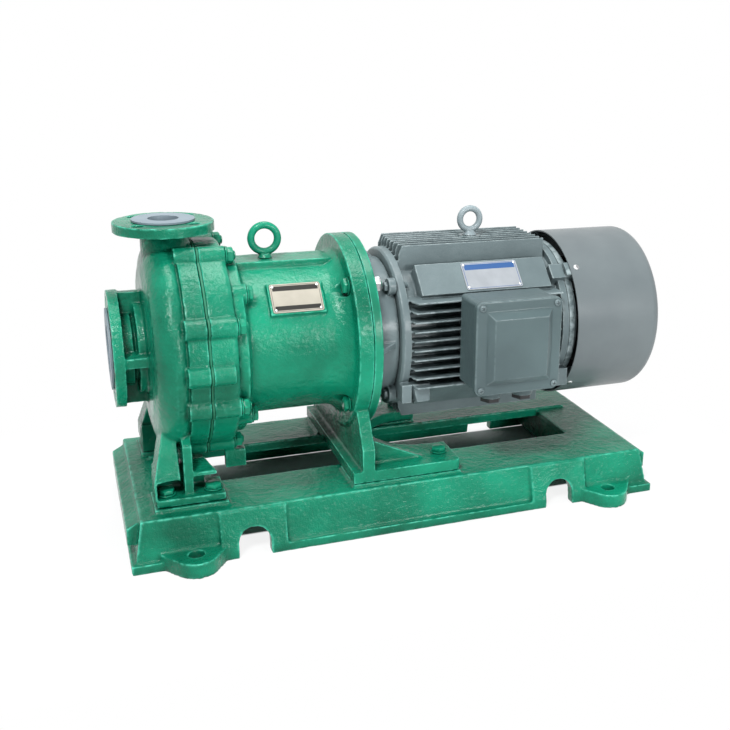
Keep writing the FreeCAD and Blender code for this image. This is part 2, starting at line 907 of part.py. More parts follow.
def make_casing():
    piece = Piece("pump_casing", s.suction_face_x, 0, s.shaft_height)
    neck = s.suction_bore / 2 + s.liner_thickness + s.neck_wall
    flange = s.suction_flange_diameter / 2
    front = s.volute_front_x
    collar_end = s.neck_collar_x + s.neck_collar_width
    groove = s.neck_groove
    shoulder = s.volute_shoulder
    piece.turned([
        (0, 0), (0, flange), (s.suction_flange_thickness, flange),
        (s.suction_flange_thickness, s.neck_step_radius),
        (s.neck_collar_x - groove, s.neck_step_radius), (s.neck_collar_x - groove, neck),
        (s.neck_collar_x, neck), (s.neck_collar_x, s.neck_collar_radius),
        (collar_end, s.neck_collar_radius),
        (collar_end, volute_radius - s.volute_root_depth),
        (front + s.volute_front_land, volute_radius - s.volute_front_depth),
        (front + s.volute_front_run, volute_radius, -s.volute_front_round),
        (s.casing_flange_front_x - shoulder, volute_radius),
        (s.casing_flange_front_x, volute_radius - shoulder, -shoulder),
        (s.casing_flange_front_x, s.casing_body_radius),
        (s.casing_back_x, s.casing_body_radius), (s.casing_back_x, 0)])
    # lobes round the casing flange
    first = TURN / 2 / s.casing_bolt_count
    bolts = s.casing_bolt_circle / 2
    flange_length = s.casing_back_x - s.casing_flange_front_x
    lobe = piece.circles("YZ_Plane", [(bolts * cosine(first), bolts * sine(first),
                                       s.lobe_radius)],
                         s.casing_flange_front_x - s.lobe_root)
    lobe_pad = piece.pad(lobe, flange_length + s.lobe_root)
    piece.polar([lobe_pad], s.casing_bolt_count)
    side = piece.circles("YZ_Plane", [(-bolts * cosine(s.side_lug_angle),
                                       bolts * sine(s.side_lug_angle), s.lobe_radius)],
                         s.casing_flange_front_x - s.lobe_root)
    piece.pad(side, flange_length + s.lobe_root)
    # ribs from the suction flange to the volute
    rib = piece.outline("XZ_Plane", [
        (s.suction_flange_thickness - s.overlap, 0), (front + s.casing_rib_root, 0),
        (front + s.casing_rib_root, flange + s.casing_rib_rise),
        (front + s.volute_front_land, flange - s.casing_rib_inset),
        (s.suction_flange_thickness - s.overlap, flange - s.casing_rib_inset)])
    rib_pad = piece.pad(rib, s.casing_rib, symmetric=True)
    piece.polar([rib_pad], 4)
    # discharge neck and flange
    neck_top = s.discharge_height - s.discharge_flange_thickness
    top = piece.circles("XY_Plane", [(s.discharge_x, 0, s.discharge_neck_radius)], neck_top)
    low = piece.outline("XY_Plane", [
        (s.discharge_x - s.discharge_neck_radius, -s.discharge_neck_spread),
        (s.discharge_x + s.discharge_neck_radius, -s.discharge_neck_spread,
         s.discharge_neck_radius * NECK_FOOT_BULGE),
        (s.discharge_x + s.discharge_neck_radius, s.discharge_neck_spread),
        (s.discharge_x - s.discharge_neck_radius, s.discharge_neck_spread,
         s.discharge_neck_radius * NECK_FOOT_BULGE)],
        s.chamber_radius - s.discharge_root)
    loft = piece.body.newObject("PartDesign::AdditiveLoft", piece.name("neck"))
    loft.Profile = (low, [""])
    loft.Sections = [(top, [""])]
    flange_disc = piece.circles("XY_Plane",
                                [(s.discharge_x, 0, s.discharge_flange_diameter / 2)],
                                neck_top)
    piece.pad(flange_disc, s.discharge_flange_thickness)
    # feet: a plate each side, a leaning leg, an upright rib and a hood over one bolt
    foot_low = foot_seat_z
    outer = s.pump_foot_outer
    inner = s.pump_foot_inner
    plates = piece.outline("XY_Plane", box_outline(s.pump_foot_x, (outer + inner) / 2,
                                                   s.pump_foot_length, outer - inner),
                           foot_low)
    plate_pad = piece.pad(plates, s.pump_foot_thickness)
    leg_inner = inner + s.pump_foot_wall / 2
    sections = [
        (s.pump_leg_front, leg_inner, outer - s.overlap, foot_top_z - s.overlap),
        (s.pump_leg_front, leg_inner, s.pump_leg_knee_y, s.pump_leg_knee_z),
        (s.pump_leg_top_x, leg_inner - s.pump_leg_top_step, s.pump_leg_top_y,
         s.pump_leg_top_z)]
    legs = []
    for part_of_leg in (sections[:2], sections[1:]):
        ends = [piece.outline("XY_Plane", [
            (front_x, low_y), (s.pump_leg_back, low_y), (s.pump_leg_back, high_y),
            (front_x, high_y)], level) for front_x, low_y, high_y, level in part_of_leg]
        leg = piece.body.newObject("PartDesign::AdditiveLoft", piece.name("leg"))
        leg.Profile = (ends[0], [""])
        leg.Sections = [(ends[1], [""])]
        legs.append(leg)
    wall = piece.outline("XY_Plane", [
        (s.pump_leg_front + s.pump_wall_inset, inner),
        (s.foot_rib_x + s.hood_length, inner),
        (s.foot_rib_x + s.hood_length, inner + s.pump_foot_wall),
        (s.pump_leg_front + s.pump_wall_inset, inner + s.pump_foot_wall)],
        foot_top_z - s.overlap)
    wall_pad = piece.pad(wall, s.hood_top - foot_top_z + s.overlap)
    rib_end = s.foot_rib_x + s.pump_foot_rib
    hood = piece.outline("XY_Plane", [
        (rib_end - s.overlap, inner), (rib_end + s.hood_length * HOOD_ROOT, inner),
        (rib_end + s.hood_length, s.hood_y), (rib_end - s.overlap, s.hood_y)],
        s.hood_top - s.hood_thickness)
    hood_pad = piece.pad(hood, s.hood_thickness)
    upright_rib = piece.outline("YZ_Plane", [
        (inner, foot_top_z - s.overlap), (s.foot_rib_y, foot_top_z - s.overlap),
        (s.foot_rib_y, s.foot_rib_top), (s.pump_leg_top_y, s.pump_leg_top_z),
        (inner - s.foot_rib_root, s.foot_rib_top - s.foot_rib_slope)], s.foot_rib_x)
    rib_pad = piece.pad(upright_rib, s.pump_foot_rib)
    piece.mirrored([plate_pad] + legs + [wall_pad, hood_pad, rib_pad], "XZ_Plane")
    arch = s.foot_pocket_round
    pocket_back = s.pump_leg_back + s.overlap
    pocket_top = s.pump_leg_knee_z + s.foot_pocket_slope
    pocket_start = outer + s.foot_pocket_run_out
    pocket = piece.outline("XZ_Plane", [
        (s.foot_pocket_front, foot_top_z), (pocket_back, foot_top_z),
        (pocket_back, pocket_top - arch), (pocket_back - arch, pocket_top, arch),
        (s.foot_pocket_front, s.pump_leg_knee_z)], pocket_start)
    foot_pocket = piece.pocket(pocket, pocket_start - inner - s.pump_foot_wall)
    piece.mirrored([foot_pocket], "XZ_Plane")
    # wet chamber, lined later
    suction_hole = s.suction_bore / 2 + s.liner_thickness + s.fit_clearance
    chamber = lined_radius + s.fit_clearance
    back = s.casing_back_x
    wall_x = s.chamber_front_x - s.liner_thickness
    piece.grooved([(0, 0), (back, 0), (back, chamber), (wall_x, chamber),
                   (wall_x, suction_hole), (0, suction_hole)])
    outlet = piece.circles("XY_Plane", [(s.discharge_x, 0,
                                         s.discharge_bore / 2 + s.liner_thickness
                                         + s.fit_clearance)], s.discharge_height)
    piece.pocket(outlet, s.discharge_height - s.chamber_radius + s.liner_tube_root)
    # blind threads for the studs and holes in the flanges
    holes = piece.circles("YZ_Plane", [(bolts * cosine(first), bolts * sine(first),
                                        bolt_radius + s.fit_clearance)], s.casing_back_x)
    hole = piece.pocket(holes, s.stud_depth)
    piece.polar([hole], s.casing_bolt_count)
    suction_first = TURN / 2 / s.suction_bolt_count
    suction_bolts = s.suction_bolt_circle / 2
    holes = piece.circles("YZ_Plane", [(suction_bolts * cosine(suction_first),
                                        suction_bolts * sine(suction_first),
                                        s.flange_hole / 2)], s.suction_flange_thickness)
    hole = piece.pocket(holes, s.suction_flange_thickness)
    piece.polar([hole], s.suction_bolt_count)
    discharge_bolts = s.discharge_bolt_circle / 2
    reach = discharge_bolts * cosine(TURN / 2 / s.discharge_bolt_count)
    holes = piece.circles("XY_Plane", [
        (s.discharge_x + sx * reach, sy * reach, s.flange_hole / 2)
        for sx in (-1, 1) for sy in (-1, 1)], s.discharge_height)
    piece.pocket(holes, s.discharge_flange_thickness)
    holes = piece.circles("XY_Plane", [
        (s.pump_foot_x + sx * s.pump_foot_bolt_spacing / 2, sy * s.pump_foot_bolt_y,
         bolt_hole_radius) for sx in (-1, 1) for sy in (-1, 1)], foot_top_z)
    piece.pocket(holes, s.pump_foot_thickness)


def make_liner():
    piece = Piece("casing_liner", s.suction_face_x, 0, s.shaft_height)
    bore = s.suction_bore / 2
    face = -1 * s.liner_face_height
    wall_x = s.chamber_front_x - s.liner_thickness
    piece.turned([
        (face, 0), (face, s.suction_liner_face / 2), (0, s.suction_liner_face / 2),
        (0, bore + s.liner_thickness), (wall_x, bore + s.liner_thickness),
        (wall_x, lined_radius), (s.casing_back_x, lined_radius), (s.casing_back_x, 0)])
    tube = piece.circles("XY_Plane", [(s.discharge_x, 0,
                                       s.discharge_bore / 2 + s.liner_thickness)],
                         s.chamber_radius - s.liner_tube_root)
    piece.pad(tube, s.discharge_height - s.chamber_radius + s.liner_tube_root)
    raised = piece.circles("XY_Plane", [(s.discharge_x, 0, s.discharge_liner_face / 2)],
                           s.discharge_height)
    piece.pad(raised, s.liner_face_height)
    piece.grooved([(face, 0), (s.casing_back_x, 0), (s.casing_back_x, s.chamber_radius),
                   (s.chamber_front_x, s.chamber_radius), (s.chamber_front_x, bore),
                   (face, bore)])
    outlet = piece.circles("XY_Plane", [(s.discharge_x, 0, s.discharge_bore / 2)],
                           s.discharge_height + s.liner_face_height)
    piece.pocket(outlet, s.discharge_height + s.liner_face_height - s.chamber_radius
                 + s.liner_tube_root)


def make_gasket():
    piece = Piece("casing_gasket", s.suction_face_x, 0, s.shaft_height)
    piece.turned(ring_outline(s.casing_back_x, cover_front_x, lined_radius,
                              lined_radius + s.gasket_width))


def make_cover():
    piece = Piece("rear_cover", s.suction_face_x, 0, s.shaft_height)
    shell_seat_x = s.shell_flange_x + s.shell_flange_thickness
    inner = s.shell_radius + s.fit_clearance
    radius = s.casing_body_radius
    piece.turned([
        (shell_seat_x, inner), (cover_back_x, inner),
        (cover_back_x, radius - s.cover_edge_rise),
        (cover_back_x - s.cover_edge_run, radius, s.cover_edge_round),
        (cover_front_x, radius),
        (cover_front_x, spigot_radius), (shell_seat_x, spigot_radius)])
    first = TURN / 2 / s.casing_bolt_count
    bolts = s.casing_bolt_circle / 2
    lobe = piece.circles("YZ_Plane", [(bolts * cosine(first), bolts * sine(first),
                                       s.lobe_radius)], cover_front_x)
    lobe_pad = piece.pad(lobe, s.cover_thickness)
    piece.polar([lobe_pad], s.casing_bolt_count)
    side = piece.circles("YZ_Plane", [(-bolts * cosine(s.side_lug_angle),
                                       bolts * sine(s.side_lug_angle), s.lobe_radius)],
                         cover_front_x)
    piece.pad(side, s.cover_thickness - s.side_lug_step)
    # square lug below one lobe, passing under the nut
    lobe_y = bolts * sine(first)
    lobe_z = -bolts * cosine(first)
    lug_top = lobe_z - s.lobe_radius * COVER_LUG_ROOT
    lug = piece.outline("XZ_Plane", [
        (s.cover_lug_x, s.cover_lug_bottom),
        (s.cover_lug_x + s.cover_lug_length, s.cover_lug_bottom),
        (s.cover_lug_x + s.cover_lug_length, lug_top), (cover_back_x, lug_top),
        (cover_back_x, lobe_z), (s.cover_lug_x, lobe_z)], lobe_y)
    piece.pad(lug, s.cover_lug_width, symmetric=True)
    holes = piece.circles("YZ_Plane", [(bolts * cosine(first), bolts * sine(first),
                                        bolt_hole_radius)], cover_back_x)
    hole = piece.pocket(holes, s.cover_thickness)
    piece.polar([hole], s.casing_bolt_count)
    inner_bolts = s.bracket_bolt_circle / 2
    reach = inner_bolts * cosine(45)
    holes = piece.circles("YZ_Plane", [(sx * reach, sz * reach, bolt_radius + s.fit_clearance)
                                       for sx in (-1, 1) for sz in (-1, 1)], cover_back_x)
    piece.pocket(holes, s.cover_thickness / 2)


def make_bracket():
    piece = Piece("motor_bracket", s.suction_face_x, 0, s.shaft_height)
    inner = s.barrel_radius - s.barrel_wall
    flare_x = ring_front_x - s.barrel_flare_length
    flange_front = cover_back_x
    flange_back = bracket_flange_back_x
    piece.turned([
        (flange_front, inner), (flange_front, s.bracket_flange_radius),
        (flange_back - s.bracket_flange_slope, s.bracket_flange_radius),
        (flange_back, s.barrel_radius), (flare_x, s.barrel_radius),
        (ring_front_x, s.barrel_flare_radius, s.barrel_flare_round),
        (ring_front_x, s.ring_radius),
        (motor_face_x, s.ring_radius), (motor_face_x, inner)])
    # lobes for the four bolts into the rear cover
    reach = s.bracket_bolt_circle / 2 * cosine(45)
    lobe = piece.circles("YZ_Plane", [(reach, reach, s.bracket_lobe_radius)], flange_front)
    lobe_pad = piece.pad(lobe, s.bracket_flange_thickness)
    piece.polar([lobe_pad], 4)
    # flat pad on top for the lifting eye
    pad = piece.outline("YZ_Plane", box_outline(0, s.top_pad_height / 2, s.top_pad_width,
                                                s.top_pad_height),
                        flange_front + s.top_pad_inset)
    piece.pad(pad, ring_front_x - flange_front - s.top_pad_gap)
    # flat seat for the rating plate
    seat_sketch = piece.outline("YZ_Plane", box_outline(0, s.plate_seat_distance / 2,
                                                        s.pump_plate_width
                                                        + 2 * s.plate_seat_side_margin,
                                                        s.plate_seat_distance),
                                s.plate_seat_x - s.pump_plate_length / 2
                                - s.plate_seat_end_margin)
    bind(seat_sketch, "AttachmentOffset.Rotation.Angle", s.plate_seat_angle - 90)
    piece.pad(seat_sketch, s.pump_plate_length + 2 * s.plate_seat_end_margin)
    # leg below the ring, full width, with a forked foot
    half = s.leg_width / 2
    leg = piece.outline("YZ_Plane", [
        (-half, foot_seat_z), (half, foot_seat_z), (half, foot_seat_z + s.leg_shoulder),
        (s.ring_radius * LEG_TOP_ACROSS, -s.ring_radius * LEG_TOP_DOWN),
        (-s.ring_radius * LEG_TOP_ACROSS, -s.ring_radius * LEG_TOP_DOWN),
        (-half, foot_seat_z + s.leg_shoulder)],
        motor_face_x - s.leg_thickness)
    piece.pad(leg, s.leg_thickness)
    prong_front = ring_front_x - s.prong_front_overhang
    prong_back = prong_front + s.prong_length
    cut = s.prong_cut_radius
    cut_x = prong_back - s.prong_cut_run
    corner = s.prong_corner
    foot = piece.outline("XY_Plane", [
        (prong_front, -half), (prong_back - corner, -half),
        (prong_back, corner - half, corner), (prong_back, -cut), (cut_x, -cut),
        (cut_x - cut, 0, -cut), (cut_x, cut, -cut), (prong_back, cut),
        (prong_back, half - corner), (prong_back - corner, half, corner),
        (prong_front, half)], foot_seat_z)
    piece.pad(foot, s.prong_thickness)
    gusset = piece.outline("XZ_Plane", [
        (motor_face_x - s.overlap, foot_seat_z + s.overlap),
        (motor_face_x + s.gusset_length, foot_seat_z + s.overlap),
        (motor_face_x + s.gusset_length, prong_top_z),
        (motor_face_x, prong_top_z + s.gusset_height),
        (motor_face_x - s.overlap, prong_top_z + s.gusset_height)],
        s.gusset_y - s.gusset_thickness / 2)
    gusset_pad = piece.pad(gusset, s.gusset_thickness)
    piece.mirrored([gusset_pad], "XZ_Plane")
    # bore, register and holes
    register = s.register_radius + s.fit_clearance
    register_x = motor_face_x - s.register_depth - s.overlap
    piece.grooved([
        (flange_front, 0), (motor_face_x, 0), (motor_face_x, register),
        (register_x, register), (register_x, inner), (flange_front, inner)])
    holes = piece.circles("YZ_Plane", [(sx * reach, sz * reach, bolt_hole_radius)
                                       for sx in (-1, 1) for sz in (-1, 1)], flange_back)
    piece.pocket(holes, s.bracket_flange_thickness)
    motor_reach = s.motor_bolt_circle / 2 * cosine(45)
    holes = piece.circles("YZ_Plane", [(sx * motor_reach, sz * motor_reach, bolt_hole_radius)
                                       for sx in (-1, 1) for sz in (-1, 1)], motor_face_x)
    piece.pocket(holes, s.ring_thickness)
    spots = piece.circles("YZ_Plane", [(sx * motor_reach, sz * motor_reach, s.lobe_radius)
                                       for sx in (-1, 1) for sz in (-1, 1)], ring_front_x)
    piece.pocket(spots, s.barrel_flare_length)
    holes = piece.circles("XY_Plane", [(s.prong_bolt_x, sy * s.prong_bolt_y,
                                        bolt_hole_radius) for sy in (-1, 1)], prong_top_z)
    piece.pocket(holes, s.prong_thickness)
    eye = piece.circles("XY_Plane", [(s.pump_eye_x, 0, s.pump_eye_wire + s.fit_clearance)],
                        s.top_pad_height)
    piece.pocket(eye, s.eye_thread_depth)


def make_wet_end():
    """The sealed pieces that turn in the liquid, and what carries them."""
    x, z = s.suction_face_x, s.shaft_height
    journal = s.pump_shaft_diameter / 2
    # containment shell
    shell = Piece("isolation_shell", x, 0, z)
    seat = s.shell_flange_x + s.shell_flange_thickness
    inside = s.shell_radius - s.shell_wall
    bottom = shell_bottom_x
    shell.turned([
        (s.shell_flange_x, inside), (s.shell_flange_x, spigot_radius),
        (seat, spigot_radius), (seat, s.shell_radius),
        (s.shell_end_x - s.shell_round, s.shell_radius),
        (s.shell_end_x, s.shell_radius - s.shell_round, s.shell_round), (s.shell_end_x, 0),
        (bottom, 0), (bottom, journal + s.fit_clearance),
        (bottom - s.socket_depth, journal + s.fit_clearance),
        (bottom - s.socket_depth, journal + s.socket_wall),
        (bottom, journal + s.socket_wall + s.socket_slope),
        (bottom, inside - s.shell_inner_round),
        (bottom - s.shell_inner_round, inside, s.shell_inner_round)])
    # fixed ceramic shaft
    shaft = Piece("pump_shaft", x, 0, z)
    shaft.turned([
        (s.shaft_front_x, 0), (s.shaft_front_x, journal - s.shaft_chamfer),
        (s.shaft_front_x + s.shaft_chamfer, journal), (bottom - s.shaft_chamfer, journal),
        (bottom, journal - s.shaft_chamfer), (bottom, 0)])
    # spider that holds the front end of the shaft in the suction bore
    spider = Piece("shaft_support", x, 0, z)
    hub = journal + s.support_hub_wall
    nose = s.shaft_front_x - s.support_nose
    spider.turned([
        (nose, 0), (nose, hub - s.support_nose), (s.shaft_front_x, hub, -s.support_nose),
        (s.shaft_front_x + s.support_length, hub),
        (s.shaft_front_x + s.support_length, journal + s.fit_clearance),
        (s.shaft_front_x, journal + s.fit_clearance), (s.shaft_front_x, 0)])
    vane_reach = s.suction_bore / 2 - s.fit_clearance
    vane_end = s.shaft_front_x + s.support_length - s.support_vane_short
    vane_top = vane_reach + s.support_vane_short
    vane = spider.outline("XZ_Plane", [
        (s.shaft_front_x, journal + s.overlap), (vane_end, journal + s.overlap),
        (vane_end, vane_top), (s.shaft_front_x + s.support_vane_inset, vane_top)])
    vane_pad = spider.pad(vane, s.support_vane, symmetric=True)
    spider.polar([vane_pad], s.support_vane_count)
    spider.grooved(ring_outline(s.shaft_front_x - s.overlap,
                                s.shaft_front_x + s.support_length + s.overlap,
                                vane_reach, vane_reach + s.support_trim))
    # thrust rings at both ends of the turning pieces
    front_ring = Piece("front_thrust_ring", x, 0, z)
    ring_x = s.shaft_front_x + s.support_length
    front_ring.turned(ring_outline(ring_x, ring_x + s.thrust_ring_thickness,
                                   journal + s.fit_clearance, s.thrust_ring_radius))
    rear_ring = Piece("rear_thrust_ring", x, 0, z)
    rear_ring.turned(ring_outline(rear_ring_x, rear_ring_x + s.thrust_ring_thickness,
                                  journal + s.fit_clearance, s.thrust_ring_radius))


def make_impeller():
    piece = Piece("impeller", s.suction_face_x, 0, s.shaft_height)
    journal = s.pump_shaft_diameter / 2
    sleeve = journal + s.bush_wall + s.fit_clearance
    start = s.shaft_front_x + s.support_length + s.thrust_ring_thickness + s.wet_gap
    back = s.impeller_x + s.impeller_width
    tip = s.impeller_radius
    back_face = back - s.shroud
    front_face = back_face - s.outlet_width
    # back shroud and hub
    hub = s.impeller_sleeve_radius
    piece.turned([
        (start, journal + s.overlap), (start, s.thrust_ring_radius - s.eye_lip),
        (start + s.impeller_hub_run, s.thrust_ring_radius),
        (back_face, s.shroud_bend_radius, -s.back_shroud_curve),
        (back_face, tip), (back, tip), (back, hub), (s.inner_rotor_x, hub),
        (s.inner_rotor_x, sleeve), (s.front_bush_x, sleeve),
        (s.front_bush_x, journal + s.overlap)])
    # front shroud
    eye = s.impeller_eye
    lip_x = s.impeller_x - s.eye_lip
    lip_top = eye + s.eye_lip_outer
    bend_x = front_face - s.shroud - s.shroud_step
    bend_top = s.shroud_bend_radius + s.eye_lip
    neck_x = s.impeller_x + s.shroud_step
    piece.turned([
        (lip_x, eye - s.eye_lip_inner), (s.impeller_x + s.eye_lip_run, eye - s.eye_lip_inner),
        (front_face, s.shroud_bend_radius, s.front_shroud_curve), (front_face, tip),
        (front_face - s.shroud, tip), (bend_x, bend_top),
        (neck_x, lip_top, -s.shroud_back_curve), (lip_x, lip_top)])
    # swept vanes
    half = s.vane_thickness / 2
    root = s.vane_root
    vane_x = s.impeller_x + s.vane_front
    sweep = s.vane_sweep
    out_y = tip * cosine(sweep)
    out_z = tip * sine(sweep)
    vane = piece.outline("YZ_Plane", [
        (root, -half), (out_y, -out_z, -s.vane_curve - half),
        (out_y + s.vane_thickness * sine(sweep), s.vane_thickness * cosine(sweep) - out_z),
        (root, half, s.vane_curve - half)], vane_x)
    vane_pad = piece.pad(vane, back_face - vane_x + s.overlap)
    piece.polar([vane_pad], s.vane_count)
    # trim the vanes to the tip circle and the front shroud
    piece.grooved(ring_outline(s.impeller_x, back + s.overlap, tip, tip + s.vane_trim))
    piece.grooved([
        (s.impeller_x - s.overlap, lip_top), (neck_x, lip_top),
        (bend_x, bend_top, s.shroud_back_curve), (front_face - s.shroud, tip),
        (front_face - s.shroud, tip + s.eye_lip), (s.impeller_x - s.overlap, tip + s.eye_lip)])


def make_inner_rotor():
    x, z = s.suction_face_x, s.shaft_height
    journal = s.pump_shaft_diameter / 2
    sleeve = journal + s.bush_wall + s.fit_clearance
    start = s.inner_rotor_x
    stop = inner_rotor_end_x
    rotor = Piece("inner_magnet_rotor", x, 0, z)
    pocket_outer = s.inner_rotor_radius - s.inner_magnet_cover
    pocket_inner = pocket_outer - s.inner_magnet_thickness - s.fit_clearance
    rotor.turned([
        (start, sleeve), (stop, sleeve), (stop, s.inner_rotor_radius - s.rotor_chamfer),
        (stop - s.rotor_chamfer, s.inner_rotor_radius),
        (start + s.rotor_chamfer, s.inner_rotor_radius),
        (start, s.inner_rotor_radius - s.rotor_chamfer)])
    rotor.grooved(ring_outline(s.magnet_start_x, s.magnet_start_x + s.magnet_length,
                               pocket_inner, pocket_outer + s.fit_clearance))
    for label, place, length in (("front_bush", s.front_bush_x, s.front_bush_length),
                                 ("rear_bush", stop - s.rear_bush_length,
                                  s.rear_bush_length)):
        bush = Piece(label, x, 0, z)
        bush.turned(ring_outline(place, place + length, journal + s.journal_clearance,
                                 journal + s.bush_wall))


def magnet_ring(label, inner, outer):
    """Bar magnets standing in a ring, with a small space between them."""
    start = s.magnet_start_x.number
    angle = s.magnet_width_angle.number
    count = int(s.magnet_count.number)
    cell = Part.makeCylinder(outer.number, s.magnet_length.number, Vector(start, 0, 0),
                             Vector(1, 0, 0), angle)
    core = Part.makeCylinder(inner.number, s.magnet_length.number, Vector(start, 0, 0),
                             Vector(1, 0, 0), angle)
    bar = cell.cut(core)
    bars = []
    for index in range(count):
        copy = bar.copy()
        copy.rotate(Vector(0, 0, 0), Vector(1, 0, 0), index * TURN / count)
        bars.append(copy)
    group(label, bars, s.suction_face_x, s.shaft_height)


def make_drive():
    """The outer half of the magnetic coupling, on the motor shaft."""
    x, z = s.suction_face_x, s.shaft_height
    pocket_outer = s.inner_rotor_radius - s.inner_magnet_cover
    magnet_ring("inner_magnets", pocket_outer - s.inner_magnet_thickness, pocket_outer)
    inner = s.outer_magnet_inner_radius
    outer = inner + s.outer_magnet_thickness
    magnet_ring("outer_magnets", inner, outer)
    carrier = Piece("outer_magnet_carrier", x, 0, z)
    bore = s.shaft_diameter / 2 + s.fit_clearance
    bottom = s.carrier_bottom_x
    rim = outer + s.carrier_wall
    back = bottom + s.carrier_bottom
    carrier.turned([
        (s.carrier_front_x, inner + s.overlap), (s.carrier_front_x, rim - s.carrier_lip),
        (s.carrier_front_x + s.carrier_lip, rim), (back - s.carrier_chamfer, rim),
        (back, rim - s.carrier_chamfer), (back, s.hub_radius + s.carrier_round),
        (back + s.carrier_round, s.hub_radius, s.carrier_round), (s.hub_end_x, s.hub_radius),
        (s.hub_end_x, bore), (bottom, bore), (bottom, inner + s.overlap)])
    carrier.grooved(ring_outline(s.carrier_front_x - s.overlap,
                                 s.magnet_start_x + s.magnet_length,
                                 inner - s.overlap, outer + s.fit_clearance))
    seat = carrier.outline("YZ_Plane", box_outline(0, s.shaft_diameter / 2,
                                                   s.key_width + 2 * s.fit_clearance,
                                                   s.key_height), bottom)
    carrier.pocket(seat, s.hub_end_x - bottom, reverse=True)
    key = Piece("shaft_key", x, 0, z)
    shape = key.outline("YZ_Plane", box_outline(0, s.shaft_diameter / 2, s.key_width,
                                                s.key_height - 2 * s.fit_clearance),
                        bottom + s.carrier_chamfer)
    key.pad(shape, s.key_length)


def make_motor_shaft():
    piece = Piece("motor_shaft", motor_origin_x, 0, s.shaft_height)
    journal = s.journal_diameter / 2 - s.fit_clearance
    piece.turned([
        (-s.shaft_reach, 0), (-s.shaft_reach, s.shaft_diameter / 2 - s.motor_shaft_chamfer),
        (s.motor_shaft_chamfer - s.shaft_reach, s.shaft_diameter / 2),
        (s.journal_step_x, s.shaft_diameter / 2),
        (s.journal_step_x + s.motor_shaft_chamfer, journal),
        (s.front_bearing_x + s.bearing_width, journal),
        (s.front_bearing_x + s.bearing_width, s.rotor_seat_diameter / 2),
        (s.rear_bearing_x, s.rotor_seat_diameter / 2), (s.rear_bearing_x, journal),
        (s.rear_bearing_x + s.bearing_width, journal),
        (s.rear_bearing_x + s.bearing_width, s.fan_seat_diameter / 2),
        (s.fan_seat_end_x, s.fan_seat_diameter / 2), (s.fan_seat_end_x, 0)])
    seat = piece.outline("YZ_Plane", box_outline(0, s.shaft_diameter / 2,
                                                 s.key_width + 2 * s.fit_clearance,
                                                 s.key_height),
                         s.carrier_bottom_x + s.carrier_chamfer - s.fit_clearance
                         - motor_face_x)
    piece.pocket(seat, s.key_length + 2 * s.fit_clearance, reverse=True)


def make_bearings():
    z = s.shaft_height
    outer = s.bearing_diameter / 2
    inner = s.journal_diameter / 2
    race = (outer - inner) / 3
    balls = []
    middle = (outer + inner) / 2
    ball_radius = (race / 2).number
    for end, start in (("front", s.front_bearing_x), ("rear", s.rear_bearing_x)):
        ring = Piece(end + "_bearing_ring", motor_origin_x, 0, z)
        ring.turned(ring_outline(start, start + s.bearing_width, outer - race,
                                 outer - s.fit_clearance))
        inner_ring = Piece(end + "_inner_race", motor_origin_x, 0, z)
        inner_ring.turned(ring_outline(start, start + s.bearing_width, inner, inner + race))
        for index in range(int(s.ball_count.number)):
            turn = math.radians(index * TURN / s.ball_count.number)
            centre = Vector((start + s.bearing_width / 2).number,
                            middle.number * math.cos(turn), middle.number * math.sin(turn))
            balls.append(Part.makeSphere(ball_radius - s.fit_clearance.number, centre))
    group("bearing_balls", balls, motor_origin_x, z)


def make_front_shield():
    piece = Piece("motor_flange_shield", motor_origin_x, 0, s.shaft_height)
    thick = s.motor_flange_thickness
    back = thick + s.bell_length
    seat = s.bearing_diameter / 2
    bearing_x = s.front_bearing_x
    bearing_end = bearing_x + s.bearing_width
    spigot = s.frame_bore_radius - s.fit_clearance
    shaft_hole = s.journal_diameter / 2 + s.shaft_hole_play
    seat_top = seat + s.bell_seat_wall
    piece.turned([
        (s.bell_cup, shaft_hole), (s.bell_cup, s.bell_cup_radius),
        (-s.register_depth, s.bell_cup_radius),
        (-s.register_depth, s.register_radius), (0, s.register_radius),
        (0, s.ring_radius), (thick, s.ring_radius),
        (thick, s.bell_radius + s.bell_foot_rise),
        (thick + s.bell_foot_run, s.bell_radius), (back, s.bell_radius), (back, spigot),
        (back + s.bell_spigot, spigot), (back + s.bell_spigot, spigot - s.bell_spigot_wall),
        (thick + s.bell_web, spigot - s.bell_wall_step),
        (bearing_x + s.bell_seat_front, seat_top), (bearing_end, seat_top),
        (bearing_end, seat), (bearing_x, seat), (bearing_x, shaft_hole)])
    rib_end = back - s.bell_rib_end
    rib_root = s.bell_radius - s.bell_rib_root
    rib = piece.outline("XZ_Plane", [
        (thick - s.overlap, rib_root), (rib_end, rib_root),
        (rib_end, s.bell_radius + s.bell_rib_rise),
        (thick, s.ring_radius - s.bell_rib_inset),
        (thick - s.overlap, s.ring_radius - s.bell_rib_inset)])
    rib_pad = piece.pad(rib, s.bell_rib, symmetric=True)
    piece.polar([rib_pad], 4)
    reach = s.shield_bolt_circle / 2 * cosine(45)
    ear = piece.circles("YZ_Plane", [(reach, reach, s.bell_ear_radius)], back - s.bell_ear)
    ear_pad = piece.pad(ear, s.bell_ear)
    piece.polar([ear_pad], 4)
    holes = piece.circles("YZ_Plane", [(sx * reach, sz * reach,
                                        s.shield_bolt_diameter / 2 + s.fit_clearance)
                                       for sx in (-1, 1) for sz in (-1, 1)], back)
    piece.pocket(holes, s.bell_ear + s.overlap)
    motor_reach = s.motor_bolt_circle / 2 * cosine(45)
    holes = piece.circles("YZ_Plane", [(sx * motor_reach, sz * motor_reach, bolt_hole_radius)
                                       for sx in (-1, 1) for sz in (-1, 1)], thick)
    piece.pocket(holes, thick + s.overlap)


